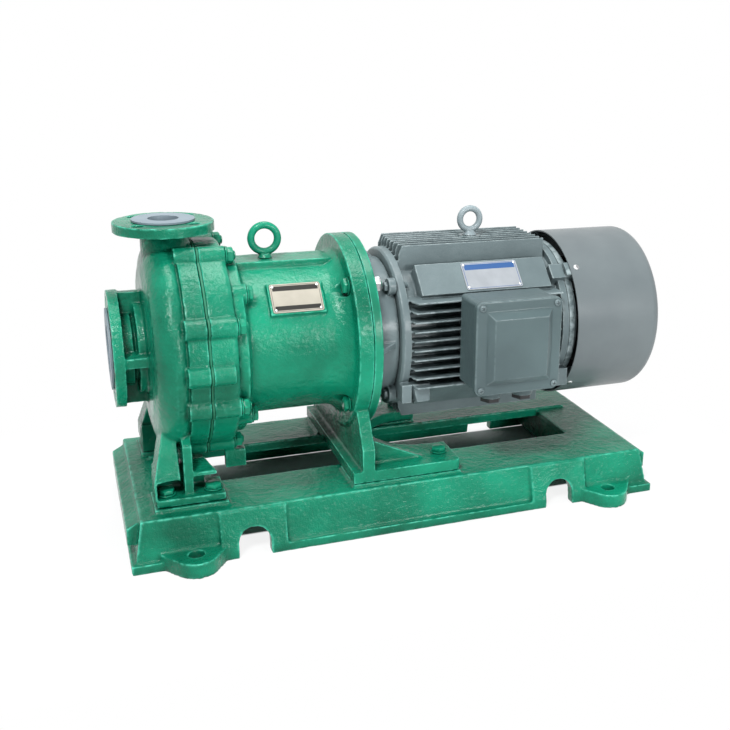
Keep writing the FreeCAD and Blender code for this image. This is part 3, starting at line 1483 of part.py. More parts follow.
def make_frame():
    piece = Piece("motor_frame", motor_origin_x, 0, s.shaft_height)
    front = s.motor_flange_thickness + s.bell_length
    back = front + s.frame_length
    bore = s.frame_bore_radius
    rear_rim = s.frame_plate_radius - s.frame_plate_slope
    piece.turned([
        (front, 0), (front, rear_rim), (front + s.frame_plate_slope, s.frame_plate_radius),
        (front + s.frame_plate_thickness, s.frame_plate_radius),
        (front + s.frame_plate_thickness, s.frame_radius),
        (back - s.frame_rear_plate, s.frame_radius), (back - s.frame_rear_plate, rear_rim),
        (back, rear_rim), (back, 0)])
    # fins along both sides, above and below
    fin_length = s.fin_back_x - s.fin_front_x
    reach = s.fin_pitch * (s.side_fin_count - 1)
    fin = piece.outline("YZ_Plane", box_outline(0, -1 * (reach / 2), s.fin_tip * 2,
                                                s.fin_thickness), s.fin_front_x)
    fin_pad = piece.pad(fin, fin_length)
    piece.row([fin_pad], s.side_fin_count, reach, "Z_Axis")
    reach = s.fin_pitch * (s.top_fin_count - 1)
    fin = piece.outline("YZ_Plane", box_outline(-1 * (reach / 2), 0, s.fin_thickness,
                                                s.top_fin_tip * 2), s.fin_front_x)
    fin_pad = piece.pad(fin, fin_length)
    piece.row([fin_pad], s.top_fin_count, reach, "Y_Axis")
    # flat pads at the four corners
    pad = piece.outline("YZ_Plane", box_outline(0, s.corner_pad_distance / 2,
                                                s.corner_pad_width,
                                                s.corner_pad_distance), s.corner_pad_x)
    bind(pad, "AttachmentOffset.Rotation.Angle", 45)
    corner = piece.pad(pad, s.corner_pad_length)
    piece.polar([corner], 4)
    # bosses for bolt-on feet, left plain
    boss_height = s.foot_boss_top - s.foot_boss_bottom
    boss_z = (s.foot_boss_top + s.foot_boss_bottom) / 2
    for start in (front, back - s.foot_boss_length):
        boss = piece.outline("YZ_Plane", box_outline(0, boss_z, s.foot_boss_y * 2,
                                                     boss_height), start)
        piece.pad(boss, s.foot_boss_length)
    # boss for the lifting eye and seat for the terminal box
    eye = piece.circles("XY_Plane", [(s.motor_eye_x, 0, s.eye_boss_radius)])
    piece.pad(eye, s.top_fin_tip + s.overlap)
    seat = piece.outline("XZ_Plane", box_outline(s.box_x, s.box_z,
                                                 s.box_width - s.box_seat_inset,
                                                 s.box_height - s.box_seat_inset))
    piece.pad(seat, s.box_back_y)
    # bevel the front ends of the fins
    past_tips = s.top_fin_tip * FIN_BEVEL_TOP
    piece.grooved([
        (s.fin_front_x - s.overlap, s.frame_plate_radius + s.fin_bevel_start),
        (s.fin_front_x + s.fin_bevel, past_tips), (s.fin_front_x - s.overlap, past_tips)])
    # ears for the cowl screws
    ears = piece.outline("YZ_Plane", box_outline(0, s.frame_plate_radius / 2,
                                                 s.cowl_ear_width,
                                                 s.frame_plate_radius + s.cowl_ear_rise),
                         back - s.cowl_ear_length)
    bind(ears, "AttachmentOffset.Rotation.Angle", 45)
    ear = piece.pad(ears, s.cowl_ear_length)
    piece.polar([ear], 4)
    # bore and tapped holes
    piece.grooved(ring_outline(front, back, 0, bore))
    bolts = s.shield_bolt_circle / 2 * cosine(45)
    hole = s.shield_bolt_diameter / 2 + s.fit_clearance
    holes = piece.circles("YZ_Plane", [(sx * bolts, sz * bolts, hole)
                                       for sx in (-1, 1) for sz in (-1, 1)], front)
    piece.pocket(holes, s.shield_thread_depth, reverse=True)
    thread = piece.circles("XY_Plane", [(s.motor_eye_x, 0,
                                         s.motor_eye_wire + s.fit_clearance)],
                           s.top_fin_tip + s.overlap)
    piece.pocket(thread, s.eye_thread_depth)


def make_electrics():
    x, z = motor_origin_x, s.shaft_height
    start = s.core_x
    stop = s.core_x + s.core_length
    outer = s.frame_bore_radius - s.fit_clearance
    stator = Piece("stator_core", x, 0, z)
    stator.turned(ring_outline(start, stop, s.stator_bore_radius, outer))
    rotor_radius = s.stator_bore_radius - s.air_gap
    rotor = Piece("rotor_core", x, 0, z)
    rotor.turned(ring_outline(start, stop, s.rotor_seat_diameter / 2 + s.fit_clearance,
                              rotor_radius))
    cage = Piece("rotor_end_rings", x, 0, z)
    for place in (start - s.cage_ring_length, stop):
        cage_ring = cage.outline("XZ_Plane",
                                 ring_outline(place, place + s.cage_ring_length,
                                              rotor_radius - s.cage_ring_depth,
                                              rotor_radius - s.cage_ring_cover))
        made = cage.feature("Revolution", cage_ring)
        made.ReferenceAxis = (cage.origin("X_Axis"), [""])
        made.Angle = TURN
        made.Refine = False


def make_windings():
    """Rounded coil heads at both ends of the stator core."""
    inner = (s.stator_bore_radius + s.winding_inner_gap).number
    outer = (s.frame_bore_radius - s.winding_outer_gap).number
    length = s.winding_length.number
    heads = []
    for start in (s.core_x.number - length, (s.core_x + s.core_length).number):
        ring = Part.makeCylinder(outer, length, Vector(start, 0, 0), Vector(1, 0, 0))
        hole = Part.makeCylinder(inner, length, Vector(start, 0, 0), Vector(1, 0, 0))
        head = ring.cut(hole)
        free_end = start if start < s.core_x.number else start + length
        edges = [edge for edge in head.Edges if is_circle(edge, None, free_end)]
        heads.append(head.makeFillet(s.winding_round.number, edges))
    group("stator_windings", heads, motor_origin_x, s.shaft_height)


def make_rear_shield():
    piece = Piece("fan_end_shield", motor_origin_x, 0, s.shaft_height)
    start = s.motor_flange_thickness + s.bell_length + s.frame_length
    stop = start + s.rear_shield_thickness
    seat = s.bearing_diameter / 2
    spigot = s.frame_bore_radius - s.fit_clearance
    bearing_end = s.rear_bearing_x + s.bearing_width
    rim = s.frame_plate_radius - s.frame_plate_slope
    edge = s.rear_edge_round
    shaft_hole = s.fan_seat_diameter / 2 + s.rear_hole_play
    cap_x = bearing_end + s.rear_cap
    spigot_x = start - s.bell_spigot
    piece.turned([
        (spigot_x, spigot - s.bell_spigot_wall), (spigot_x, spigot), (start, spigot),
        (start, rim), (stop - edge, rim), (stop, rim - edge, edge),
        (stop + s.rear_slope, seat + s.rear_slope_wall), (cap_x, seat + s.rear_cap_wall),
        (cap_x, shaft_hole), (bearing_end, shaft_hole), (bearing_end, seat),
        (s.rear_bearing_x, seat), (s.rear_bearing_x, seat + s.rear_web_wall),
        (start, spigot - s.rear_web_wall)])
    ear = piece.outline("YZ_Plane", box_outline(0, (rim + s.cowl_radius) / 2,
                                                s.rear_ear_width,
                                                s.cowl_radius - rim + s.rear_ear_length),
                        start)
    bind(ear, "AttachmentOffset.Rotation.Angle", 45)
    ear_pad = piece.pad(ear, s.cowl_screw_x - start + s.rear_ear_reach)
    piece.polar([ear_pad], 4)
    inside = s.cowl_radius - s.cowl_wall - s.fit_clearance
    piece.grooved(ring_outline(start - s.overlap, s.cowl_screw_x + s.rear_ear_trim,
                               inside, inside + s.rear_ear_length))
    screw = piece.radial_circles(45, [(s.cowl_screw_x, 0,
                                       s.screw_diameter / 2 + s.fit_clearance)],
                                 s.cowl_radius)
    hole = piece.pocket(screw, s.rear_ear_trim)
    piece.polar([hole], 4)


def make_fan():
    piece = Piece("cooling_fan", motor_origin_x, 0, s.shaft_height)
    start = s.fan_x
    stop = s.fan_x + s.fan_length
    bore = s.fan_seat_diameter / 2 + s.fit_clearance
    hub = s.fan_hub_radius
    hub_end = stop - s.fan_hub_short
    disc_x = start + s.fan_disc_x
    disc_radius = s.fan_radius - s.fan_disc_step
    piece.turned([
        (start, bore), (start, hub), (disc_x, hub + s.fan_root_rise),
        (disc_x + s.fan_disc_run, disc_radius),
        (disc_x + s.fan_disc_run + s.fan_disc, disc_radius),
        (disc_x + s.fan_disc_run - s.fan_disc_back, hub + s.fan_back_rise),
        (hub_end, hub), (hub_end, bore)])
    blade_x = start + s.fan_blade_start
    root = hub - s.fan_blade_root
    blade = piece.outline("XZ_Plane", [
        (blade_x, root), (blade_x + s.fan_blade_slope, s.fan_radius - s.fan_blade_corner),
        (blade_x + s.fan_blade_slope + s.fan_blade_corner, s.fan_radius),
        (stop, s.fan_radius), (stop - s.fan_blade_back, root)])
    blade_pad = piece.pad(blade, s.fan_blade, symmetric=True)
    piece.polar([blade_pad], s.fan_blade_count)


def make_cowl():
    piece = Piece("fan_cowl", motor_origin_x, 0, s.shaft_height)
    start = s.cowl_x
    stop = s.cowl_x + s.cowl_length
    outer = s.cowl_radius
    inner = outer - s.cowl_wall
    turn = s.cowl_round
    piece.turned([
        (start, inner), (stop - turn, inner),
        (stop - s.cowl_wall, outer - turn, s.cowl_wall - turn), (stop - s.cowl_wall, 0),
        (stop, 0), (stop, outer - turn), (stop - turn, outer, turn), (start, outer)])
    # air intake: rings of slots between six spokes
    wide = (TURN / GRILLE_SPOKES - s.grille_spoke_angle) / 2
    for ring in range(int(s.grille_rings.number)):
        low = s.grille_core_radius + ring * s.grille_pitch
        high = low + s.grille_slot
        slot = piece.outline("YZ_Plane", [
            (low * cosine(wide), -low * sine(wide), -low),
            (high * cosine(wide), -high * sine(wide)),
            (high * cosine(wide), high * sine(wide), high),
            (low * cosine(wide), low * sine(wide))], stop)
        cut = piece.pocket(slot, s.cowl_wall * 2)
        piece.polar([cut], GRILLE_SPOKES)
    holes = piece.radial_circles(45, [(s.cowl_screw_x, 0,
                                       s.screw_diameter / 2 + s.fit_clearance)],
                                 outer + s.overlap)
    hole = piece.pocket(holes, s.cowl_wall + 2 * s.overlap)
    piece.polar([hole], 4)


def make_terminal_box():
    x, z = motor_origin_x, s.shaft_height
    depth = s.box_front_y - s.box_back_y
    screw_x = s.cover_width / 2 - s.cover_screw_inset
    screw_z = s.cover_height / 2 - s.cover_screw_inset
    thread = s.screw_diameter / 2 + s.fit_clearance
    corners = [(s.box_x + sx * screw_x, s.box_z + sz * screw_z)
               for sx in (-1, 1) for sz in (-1, 1)]
    glands = [(s.box_x + side * s.gland_spacing / 2, -s.gland_y) for side in (-1, 1)]
    box = Piece("terminal_box", x, 0, z)
    shape = box.outline("XZ_Plane", box_outline(s.box_x, s.box_z, s.box_width,
                                                s.box_height), s.box_back_y)
    box.pad(shape, depth)
    box.rounded(s.box_corner, lambda edge: upright(edge, "y"))
    inside = box.outline("XZ_Plane", box_outline(s.box_x, s.box_z,
                                                 s.box_width - 2 * s.box_wall,
                                                 s.box_height - 2 * s.box_wall),
                         s.box_front_y)
    box.pocket(inside, depth - s.box_wall)
    posts = box.circles("XZ_Plane", [(across, up, s.cover_post_radius)
                                     for across, up in corners], s.box_back_y)
    box.pad(posts, depth)
    bottom = s.box_z - s.box_height / 2
    boss = box.circles("XY_Plane", [(across, deep, s.gland_radius)
                                    for across, deep in glands], bottom + s.overlap)
    box.pad(boss, s.gland_length + s.overlap, reverse=True)
    gland_bore = s.gland_radius - s.gland_wall
    boss = box.circles("XY_Plane", [(across, deep, gland_bore)
                                    for across, deep in glands], bottom + s.box_wall)
    box.pocket(boss, s.gland_length + s.box_wall)
    taps = box.circles("XZ_Plane", [(across, up, thread) for across, up in corners],
                       s.box_front_y)
    box.pocket(taps, s.cover_thread_depth)
    cover = Piece("terminal_cover", x, 0, z)
    shape = cover.outline("XZ_Plane", box_outline(s.box_x, s.box_z, s.cover_width,
                                                  s.cover_height), s.box_front_y)
    cover.pad(shape, s.cover_plate)
    cover.rounded(s.cover_corner, lambda edge: upright(edge, "y"))
    panel = cover.outline("XZ_Plane", box_outline(s.box_x, s.box_z, s.cover_panel_width,
                                                  s.cover_panel_height),
                          s.box_front_y + s.cover_plate)
    cover.pad(panel, s.cover_panel_rise, taper=-s.cover_panel_taper)
    front = -1 * (s.box_front_y + s.cover_plate).number
    half_panel = (s.cover_panel_width / 2 + s.cover_edge).number
    half_height = (s.cover_panel_height / 2 + s.cover_edge).number

    def on_rim(edge):
        box_of_edge = edge.BoundBox
        in_front = near(box_of_edge.YMin, front) and near(box_of_edge.YMax, front)
        return in_front and (box_of_edge.XMin < s.box_x.number - half_panel
                             or box_of_edge.XMax > s.box_x.number + half_panel
                             or box_of_edge.ZMin < s.box_z.number - half_height
                             or box_of_edge.ZMax > s.box_z.number + half_height)
    cover.rounded(s.cover_edge, on_rim)
    holes = cover.circles("XZ_Plane", [(across, up, thread + s.cover_screw_play)
                                       for across, up in corners],
                          s.box_front_y + s.cover_plate)
    cover.pocket(holes, s.cover_plate)
    block = Piece("terminal_block", x, 0, z)
    wall_y = s.box_back_y + s.box_wall
    shape = block.outline("XZ_Plane", box_outline(s.box_x, s.box_z, s.block_width,
                                                  s.block_height), wall_y)
    block.pad(shape, s.block_depth)
    studs = []
    glands_made = []
    for column in (-1, 0, 1):
        for line in (-1, 1):
            place = Vector((s.box_x + column * s.stud_pitch).number,
                           -(wall_y + s.block_depth).number,
                           (s.box_z + line * s.stud_rise).number)
            stud = Part.makeCylinder(s.stud_radius.number, s.stud_length.number, place,
                                     Vector(0, -1, 0))
            nut = hex_prism(s.stud_nut_width.number, s.stud_nut.number, place,
                            Vector(0, -1, 0))
            studs.append(stud.fuse(nut))
    for across, deep in glands:
        low = (bottom - s.gland_length).number
        place = Vector(number_of(across), number_of(deep), low)
        stem = Part.makeCylinder((gland_bore - s.fit_clearance).number,
                                 (s.gland_length + s.gland_stem_extra).number, place)
        cap = hex_prism(s.gland_cap_width.number, s.gland_cap.number, place,
                        Vector(0, 0, -1))
        glands_made.append(stem.fuse(cap))
    group("terminal_studs", studs, x, z)
    group("gland_plugs", glands_made, x, z)
    screws = []
    for across, up in corners:
        seat = Vector(number_of(across), -(s.box_front_y + s.cover_plate).number,
                      number_of(up))
        screws.append(round_screw(seat, Vector(0, -1, 0), s.cover_screw_length.number))
    group("cover_screws", screws, x, z)


def upright(edge, axis):
    """True for a straight edge along one axis."""
    if edge.Curve.TypeId != "Part::GeomLine":
        return False
    return abs(abs(getattr(edge.Curve.Direction, axis)) - 1) < 0.01


def hex_prism(across_flats, height, place, direction):
    corner = across_flats / math.sqrt(3)
    points = [Vector(corner * math.cos(math.radians(60 * k)),
                     corner * math.sin(math.radians(60 * k)), 0) for k in range(7)]
    prism = Part.Face(Part.makePolygon(points)).extrude(Vector(0, 0, height))
    prism.Placement = FreeCAD.Placement(place, FreeCAD.Rotation(Vector(0, 0, 1),
                                                                direction))
    return prism


def round_screw(seat, direction, length):
    """A round headed screw: the head stands on seat and the thread goes back."""
    head = Part.makeCylinder(s.screw_head_radius.number, s.screw_head_height.number,
                             seat, direction)
    rim = [edge for edge in head.Edges
           if (edge.CenterOfMass - seat).Length > s.screw_head_height.number / 2
           and edge.Curve.TypeId == "Part::GeomCircle"]
    head = head.makeFillet(s.screw_head_height.number * SCREW_HEAD_ROUND, rim)
    thread = Part.makeCylinder(s.screw_diameter.number / 2, length, seat, -direction)
    return head.fuse(thread)


def hex_bolt(seat, direction, length, diameter=None):
    """A hexagon bolt: the head stands on seat and the shank goes back from it."""
    size = diameter or s.bolt_diameter.number
    scale = size / s.bolt_diameter.number
    head = hex_prism(s.bolt_head_width.number * scale, s.bolt_head_height.number * scale,
                     seat, direction)
    shank = Part.makeCylinder(size / 2, length, seat, -direction)
    return head.fuse(shank)


def hex_nut(seat, direction):
    size = s.bolt_diameter.number
    nut = hex_prism(s.bolt_head_width.number, s.nut_height.number, seat, direction)
    hole = Part.makeCylinder(size / 2 + s.fit_clearance.number, s.nut_height.number,
                             seat, direction)
    return nut.cut(hole)


def ring_places(radius, count, first, x):
    places = []
    for index in range(count):
        turn = math.radians(first + index * TURN / count)
        places.append(Vector(number_of(x), number_of(radius) * math.cos(turn),
                             number_of(radius) * math.sin(turn)))
    return places


def make_fasteners():
    x, z = s.suction_face_x, s.shaft_height
    forward = Vector(-1, 0, 0)
    backward = Vector(1, 0, 0)
    down = Vector(0, 0, -1)
    count = int(s.casing_bolt_count.number)
    radius = s.casing_bolt_circle / 2
    first = TURN / 2 / count
    reach = (cover_back_x - stud_front_x + s.nut_height).number
    past_nut = s.thread_past_nut.number
    stud_places = ring_places(radius, count, first, stud_front_x + s.overlap)
    group("casing_bolts", [Part.makeCylinder(bolt_radius.number, reach + past_nut, place,
                                             backward) for place in stud_places], x, z)
    group("casing_nuts", [hex_nut(place, backward)
                          for place in ring_places(radius, count, first, cover_back_x)],
          x, z)
    inner = s.bracket_bolt_circle / 2
    depth = (s.bracket_flange_thickness + s.cover_thickness / 2 - s.overlap).number
    group("bracket_bolts", [hex_bolt(place, backward, depth)
                            for place in ring_places(inner, 4, 45, bracket_flange_back_x)],
          x, z)
    ring = s.motor_bolt_circle / 2
    grip = (s.ring_thickness + s.motor_flange_thickness + s.nut_height).number
    group("motor_bolts", [hex_bolt(place, forward, grip + past_nut)
                          for place in ring_places(ring, 4, 45, ring_front_x)], x, z)
    nut_x = motor_face_x + s.motor_flange_thickness
    group("motor_nuts", [hex_nut(place, backward)
                         for place in ring_places(ring, 4, 45, nut_x)], x, z)
    shield = s.shield_bolt_circle / 2
    ear_x = s.motor_flange_thickness + s.bell_length - s.bell_ear
    group("shield_bolts", [hex_bolt(place, forward, s.shield_bolt_length.number,
                                    s.shield_bolt_diameter.number)
                           for place in ring_places(shield, 4, 45, ear_x)],
          motor_origin_x, z)
    foot = []
    for side_x in (-1, 1):
        for side_y in (-1, 1):
            place = Vector((s.pump_foot_x + side_x * s.pump_foot_bolt_spacing / 2).number,
                           (side_y * s.pump_foot_bolt_y).number, foot_top_z.number)
            foot.append(hex_bolt(place, -down, (s.pump_foot_thickness
                                                + s.foot_pad_height
                                                + s.deck_thickness).number))
    group("pump_foot_bolts", foot, x, z)
    prong = [Vector(s.prong_bolt_x.number, (side * s.prong_bolt_y).number,
                    prong_top_z.number) for side in (-1, 1)]
    group("bracket_foot_bolts", [hex_bolt(place, -down, (s.prong_thickness
                                                         + s.foot_pad_height
                                                         + s.deck_thickness).number)
                                 for place in prong], x, z)
    screws = []
    for turn in (45, 135, 225, 315):
        outward = Vector(0, math.cos(math.radians(turn)), math.sin(math.radians(turn)))
        seat = Vector(s.cowl_screw_x.number, 0, 0) + outward * s.cowl_radius.number
        screws.append(round_screw(seat, outward, s.cowl_screw_length.number))
    group("cowl_screws", screws, motor_origin_x, z)


def lifting_eye(label, place_x, seat_z, ring, wire):
    """A ring bolt standing on a collar, with its thread going down."""
    eye = document.addObject("Part::Torus", label + "_ring")
    bind(eye, "Radius1", ring)
    bind(eye, "Radius2", wire)
    eye.Placement.Rotation = FreeCAD.Rotation(Vector(1, 0, 0), 90)
    bind(eye, "Placement.Base.z", s.eye_collar_height + ring + wire * 0.5)
    collar = document.addObject("Part::Cone", label + "_collar")
    bind(collar, "Radius1", s.eye_collar_radius)
    bind(collar, "Radius2", s.eye_collar_radius - s.eye_collar_slope)
    bind(collar, "Height", s.eye_collar_height)
    thread = document.addObject("Part::Cylinder", label + "_thread")
    bind(thread, "Radius", wire)
    bind(thread, "Height", s.eye_thread_depth)
    bind(thread, "Placement.Base.z", -s.eye_thread_depth)
    whole = document.addObject("Part::MultiFuse", label)
    whole.Shapes = [eye, collar, thread]
    whole.Label = label
    bind(whole, "Placement.Base.x", place_x)
    bind(whole, "Placement.Base.z", seat_z)
    finished.append(whole)


def make_eyes_and_plates():
    x, z = s.suction_face_x, s.shaft_height
    lifting_eye("pump_lifting_eye", x + s.pump_eye_x, z + s.top_pad_height,
                s.pump_eye_ring, s.pump_eye_wire)
    lifting_eye("motor_lifting_eye", motor_origin_x + s.motor_eye_x,
                z + s.top_fin_tip + s.overlap, s.motor_eye_ring, s.motor_eye_wire)
    plates = (("pump_rating_plate", x, s.plate_seat_distance, s.pump_plate_width,
               s.plate_seat_x, s.pump_plate_length, s.plate_seat_angle - 90),
              ("motor_rating_plate", motor_origin_x, s.corner_pad_distance,
               s.motor_plate_width, s.motor_eye_x, s.motor_plate_length, Size(45, "45")))
    rivets = []
    for label, origin_x, seat, width, middle, length, turn in plates:
        plate = Piece(label, origin_x, 0, z)
        shape = plate.outline("YZ_Plane", box_outline(0, seat + s.plate_thickness / 2,
                                                      width, s.plate_thickness),
                              middle - length / 2)
        bind(shape, "AttachmentOffset.Rotation.Angle", turn)
        plate.pad(shape, length)
        spin = FreeCAD.Rotation(Vector(1, 0, 0), turn.number)
        for side in (-1, 1):
            for end in (-1, 1):
                across = side * (width / 2 - s.rivet_inset).number
                along = middle.number + end * (length / 2 - s.rivet_inset).number
                out = (seat + s.plate_thickness).number
                place = spin.multVec(Vector(0, across, out))
                place += Vector(along + number_of(origin_x), 0, number_of(z))
                rivets.append(Part.makeCylinder(s.rivet_radius.number,
                                                s.rivet_height.number, place,
                                                spin.multVec(Vector(0, 0, 1))))
    group("plate_rivets", rivets)


def save_all():
    document.recompute()
    for item in document.Objects:
        if "Invalid" in item.State or "Error" in item.State:
            raise RuntimeError("%s is not built: %s" % (item.Label, item.State))
    os.makedirs("parts", exist_ok=True)
    for item in finished:
        shape = item.Shape
        if shape.isNull() or not shape.isValid():
            raise RuntimeError("%s has no sound shape" % item.Label)
        shape.exportStep(os.path.join("parts", item.Label + ".step"))
        print("%-24s solids %3d  volume %10.0f" % (item.Label, len(shape.Solids),
                                                   shape.Volume))


def main():
    make_base()
    make_casing()
    make_liner()
    make_gasket()
    make_cover()
    make_bracket()
    make_wet_end()
    make_impeller()
    make_inner_rotor()
    make_drive()
    make_motor_shaft()
    make_bearings()
    make_front_shield()
    make_frame()
    make_electrics()
    make_windings()
    make_rear_shield()
    make_fan()
    make_cowl()
    make_terminal_box()
    make_fasteners()
    make_eyes_and_plates()
    save_all()


main()
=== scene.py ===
import json
import math

import bmesh
import bpy
from mathutils import Matrix, Vector


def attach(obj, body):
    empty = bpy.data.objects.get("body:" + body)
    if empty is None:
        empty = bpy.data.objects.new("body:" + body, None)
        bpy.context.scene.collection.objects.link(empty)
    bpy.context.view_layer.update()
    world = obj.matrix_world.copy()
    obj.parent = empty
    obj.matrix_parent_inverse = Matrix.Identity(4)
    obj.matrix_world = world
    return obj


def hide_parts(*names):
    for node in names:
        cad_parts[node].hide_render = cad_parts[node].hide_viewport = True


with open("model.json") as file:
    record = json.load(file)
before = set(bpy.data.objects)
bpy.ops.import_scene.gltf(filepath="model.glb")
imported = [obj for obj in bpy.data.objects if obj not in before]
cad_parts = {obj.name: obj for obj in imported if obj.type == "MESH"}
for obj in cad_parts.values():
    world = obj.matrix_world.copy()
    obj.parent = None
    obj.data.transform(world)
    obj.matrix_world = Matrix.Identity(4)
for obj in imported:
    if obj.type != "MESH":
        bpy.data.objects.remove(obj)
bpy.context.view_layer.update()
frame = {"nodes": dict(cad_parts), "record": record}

# Looks of a lined magnetic drive acid pump on its cast base. Lengths are in metres in
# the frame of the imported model: X along the shaft, Y across, Z up, floor at zero.

MM = 0.001
TURN = 2 * math.pi

# Camera of the photograph, from a pinhole fit
PICTURE = 730
CAMERA_PLACE = (-0.53887, -1.70793, 0.83839)
CAMERA_AZIMUTH = math.radians(-22.21)
CAMERA_ELEVATION = math.radians(17.52)
CAMERA_ROLL = math.radians(1.30)
FOCAL_PIXELS = 1002.81
CENTRE_PIXEL = (460, 350)
SENSOR = 36

# The shaft line lies along X at this height
SHAFT_HEIGHT = 0.320


# Small helpers for shader nodes

def new_group(name, inputs, outputs):
    """A shader node group of plain values: inputs with their defaults, and outputs."""
    kind = "NodeSocketFloat"
    group = bpy.data.node_groups.new(name, "ShaderNodeTree")
    for label, value in inputs.items():
        socket = group.interface.new_socket(label, in_out="INPUT", socket_type=kind)
        socket.default_value = value
    for label in outputs:
        group.interface.new_socket(label, in_out="OUTPUT", socket_type=kind)
    enter = group.nodes.new("NodeGroupInput")
    leave = group.nodes.new("NodeGroupOutput")
    return group, enter, leave


# Numbers of the colour sockets of a mix node, whose names don't tell them from others
MIX_FIRST, MIX_SECOND, MIX_RESULT = 6, 7, 2


class Wiring:
    """Adds nodes to a tree and joins them, with fixed values given by name."""

    def __init__(self, tree):
        self.tree = tree

    def node(self, kind, values=(), links=(), **settings):
        """A new node with its settings, the values of its inputs and the links to them."""
        made = self.tree.nodes.new(kind)
        for key, value in settings.items():
            setattr(made, key, value)
        for key, value in dict(values).items():
            made.inputs[key].default_value = value
        for key, source in dict(links).items():
            self.tree.links.new(source, made.inputs[key])
        return made

    def place(self):
        """Where a point lies, in the axes of its own object."""
        return self.node("ShaderNodeTexCoord").outputs["Object"]

    def math(self, operation, first, second=0.0, clamp=False):
        """The result of one sum. Each term may be a socket or a plain number."""
        made = self.tree.nodes.new("ShaderNodeMath")
        made.operation = operation
        made.use_clamp = clamp
        for index, item in enumerate((first, second)):
            if isinstance(item, (int, float)):
                made.inputs[index].default_value = item
            else:
                self.tree.links.new(item, made.inputs[index])
        return made.outputs[0]

    def noise(self, place, scale, detail=3.0, roughness=0.5):
        """Cloudy values round the middle of 0 to 1. A larger scale makes them finer."""
        made = self.node("ShaderNodeTexNoise", {"Scale": scale, "Detail": detail,
                                                "Roughness": roughness}, {"Vector": place})
        return made.outputs["Fac"]

    def spread(self, value, low, high, start=0.0, stop=1.0):
        """The part of value between low and high, brought to start and stop."""
        made = self.node("ShaderNodeMapRange",
                         {"From Min": low, "From Max": high, "To Min": start,
                          "To Max": stop}, {"Value": value})
        return made.outputs["Result"]

    def blend(self, mask, first, second):
        """A colour between two others. Each may be a socket or a plain colour."""
        made = self.tree.nodes.new("ShaderNodeMix")
        made.data_type = "RGBA"
        self.tree.links.new(mask, made.inputs["Factor"])
        for index, item in ((MIX_FIRST, first), (MIX_SECOND, second)):
            if isinstance(item, (tuple, list)):
                made.inputs[index].default_value = (*item[:3], 1)
            else:
                self.tree.links.new(item, made.inputs[index])
        return made.outputs[MIX_RESULT]


# Scales of the noises, and the ranges of a noise, of the sharpness of an edge or of the
# openness of a corner that become the masks
TONE_SCALE = 7.0
TONE_RANGE = (0.32, 0.68)
# Painted highlight on sharp edges, broken up by a noise, and painted shade in hollows
HIGHLIGHT_BREAK_SCALE = 70.0
HIGHLIGHT_BREAK_RANGE = (0.38, 0.60)
EDGE_HIGHLIGHT_RANGE = (0.505, 0.56)
HOLLOW_SHADE_RANGE = (0.495, 0.44)
RING_STRETCH = (1.0, 0.06, 0.06)
MARK_TONE_SCALE = 24.0
MARK_TONE_RANGE = (0.35, 0.65)
# Painted shade in corners and narrow gaps, from the ambient occlusion
CORNER_RANGE = (0.85, 0.25)
CORNER_SAMPLES = 6
PATCH_SCALE = 45.0
PATCH_RANGE = (0.35, 0.7)
PATCH_LEAST = 0.35


def build_cast_skin():
    """Lumps of a sand casting under thick paint: their height and a broad tone, with
    masks for a painted highlight on sharp edges, broken up by a noise, and for painted
    shade in hollows."""
    group, enter, leave = new_group(
        "cast_skin", {"Lump Scale": 60.0, "Grain Scale": 420.0, "Grain": 0.3},
        ("Height", "Tone", "Edge", "Hollow"))
    wire = Wiring(group)
    place = wire.place()
    lumps = wire.node("ShaderNodeTexNoise", {"Detail": 3.0, "Roughness": 0.55},
                      {"Vector": place, "Scale": enter.outputs["Lump Scale"]})
    grain = wire.node("ShaderNodeTexNoise", {"Detail": 2.0},
                      {"Vector": place, "Scale": enter.outputs["Grain Scale"]})
    fine = wire.math("MULTIPLY", grain.outputs["Fac"], enter.outputs["Grain"])
    height = wire.math("ADD", lumps.outputs["Fac"], fine)
    broad = wire.noise(place, TONE_SCALE, detail=4.0)
    crest = wire.node("ShaderNodeNewGeometry").outputs["Pointiness"]
    highlight_breaks = wire.spread(wire.noise(place, HIGHLIGHT_BREAK_SCALE, roughness=0.6), *HIGHLIGHT_BREAK_RANGE)
    edge = wire.math("MULTIPLY", wire.spread(crest, *EDGE_HIGHLIGHT_RANGE), highlight_breaks)
    group.links.new(height, leave.inputs["Height"])
    group.links.new(wire.spread(broad, *TONE_RANGE), leave.inputs["Tone"])
    group.links.new(edge, leave.inputs["Edge"])
    group.links.new(wire.spread(crest, *HOLLOW_SHADE_RANGE), leave.inputs["Hollow"])
    return group


def build_turned_marks():
    """Fine rings about the shaft line, as a lathe leaves them."""
    group, enter, leave = new_group("turned_marks", {"Pitch Scale": 900.0},
                                    ("Height", "Tone"))
    wire = Wiring(group)
    place = wire.place()
    stretched = wire.node("ShaderNodeMapping", {"Scale": RING_STRETCH},
                          {"Vector": place}).outputs["Vector"]
    marks = wire.node("ShaderNodeTexNoise", {"Detail": 2.0},
                      {"Vector": stretched, "Scale": enter.outputs["Pitch Scale"]})
    tone = wire.spread(wire.noise(place, MARK_TONE_SCALE), *MARK_TONE_RANGE)
    group.links.new(marks.outputs["Fac"], leave.inputs["Height"])
    group.links.new(tone, leave.inputs["Tone"])
    return group


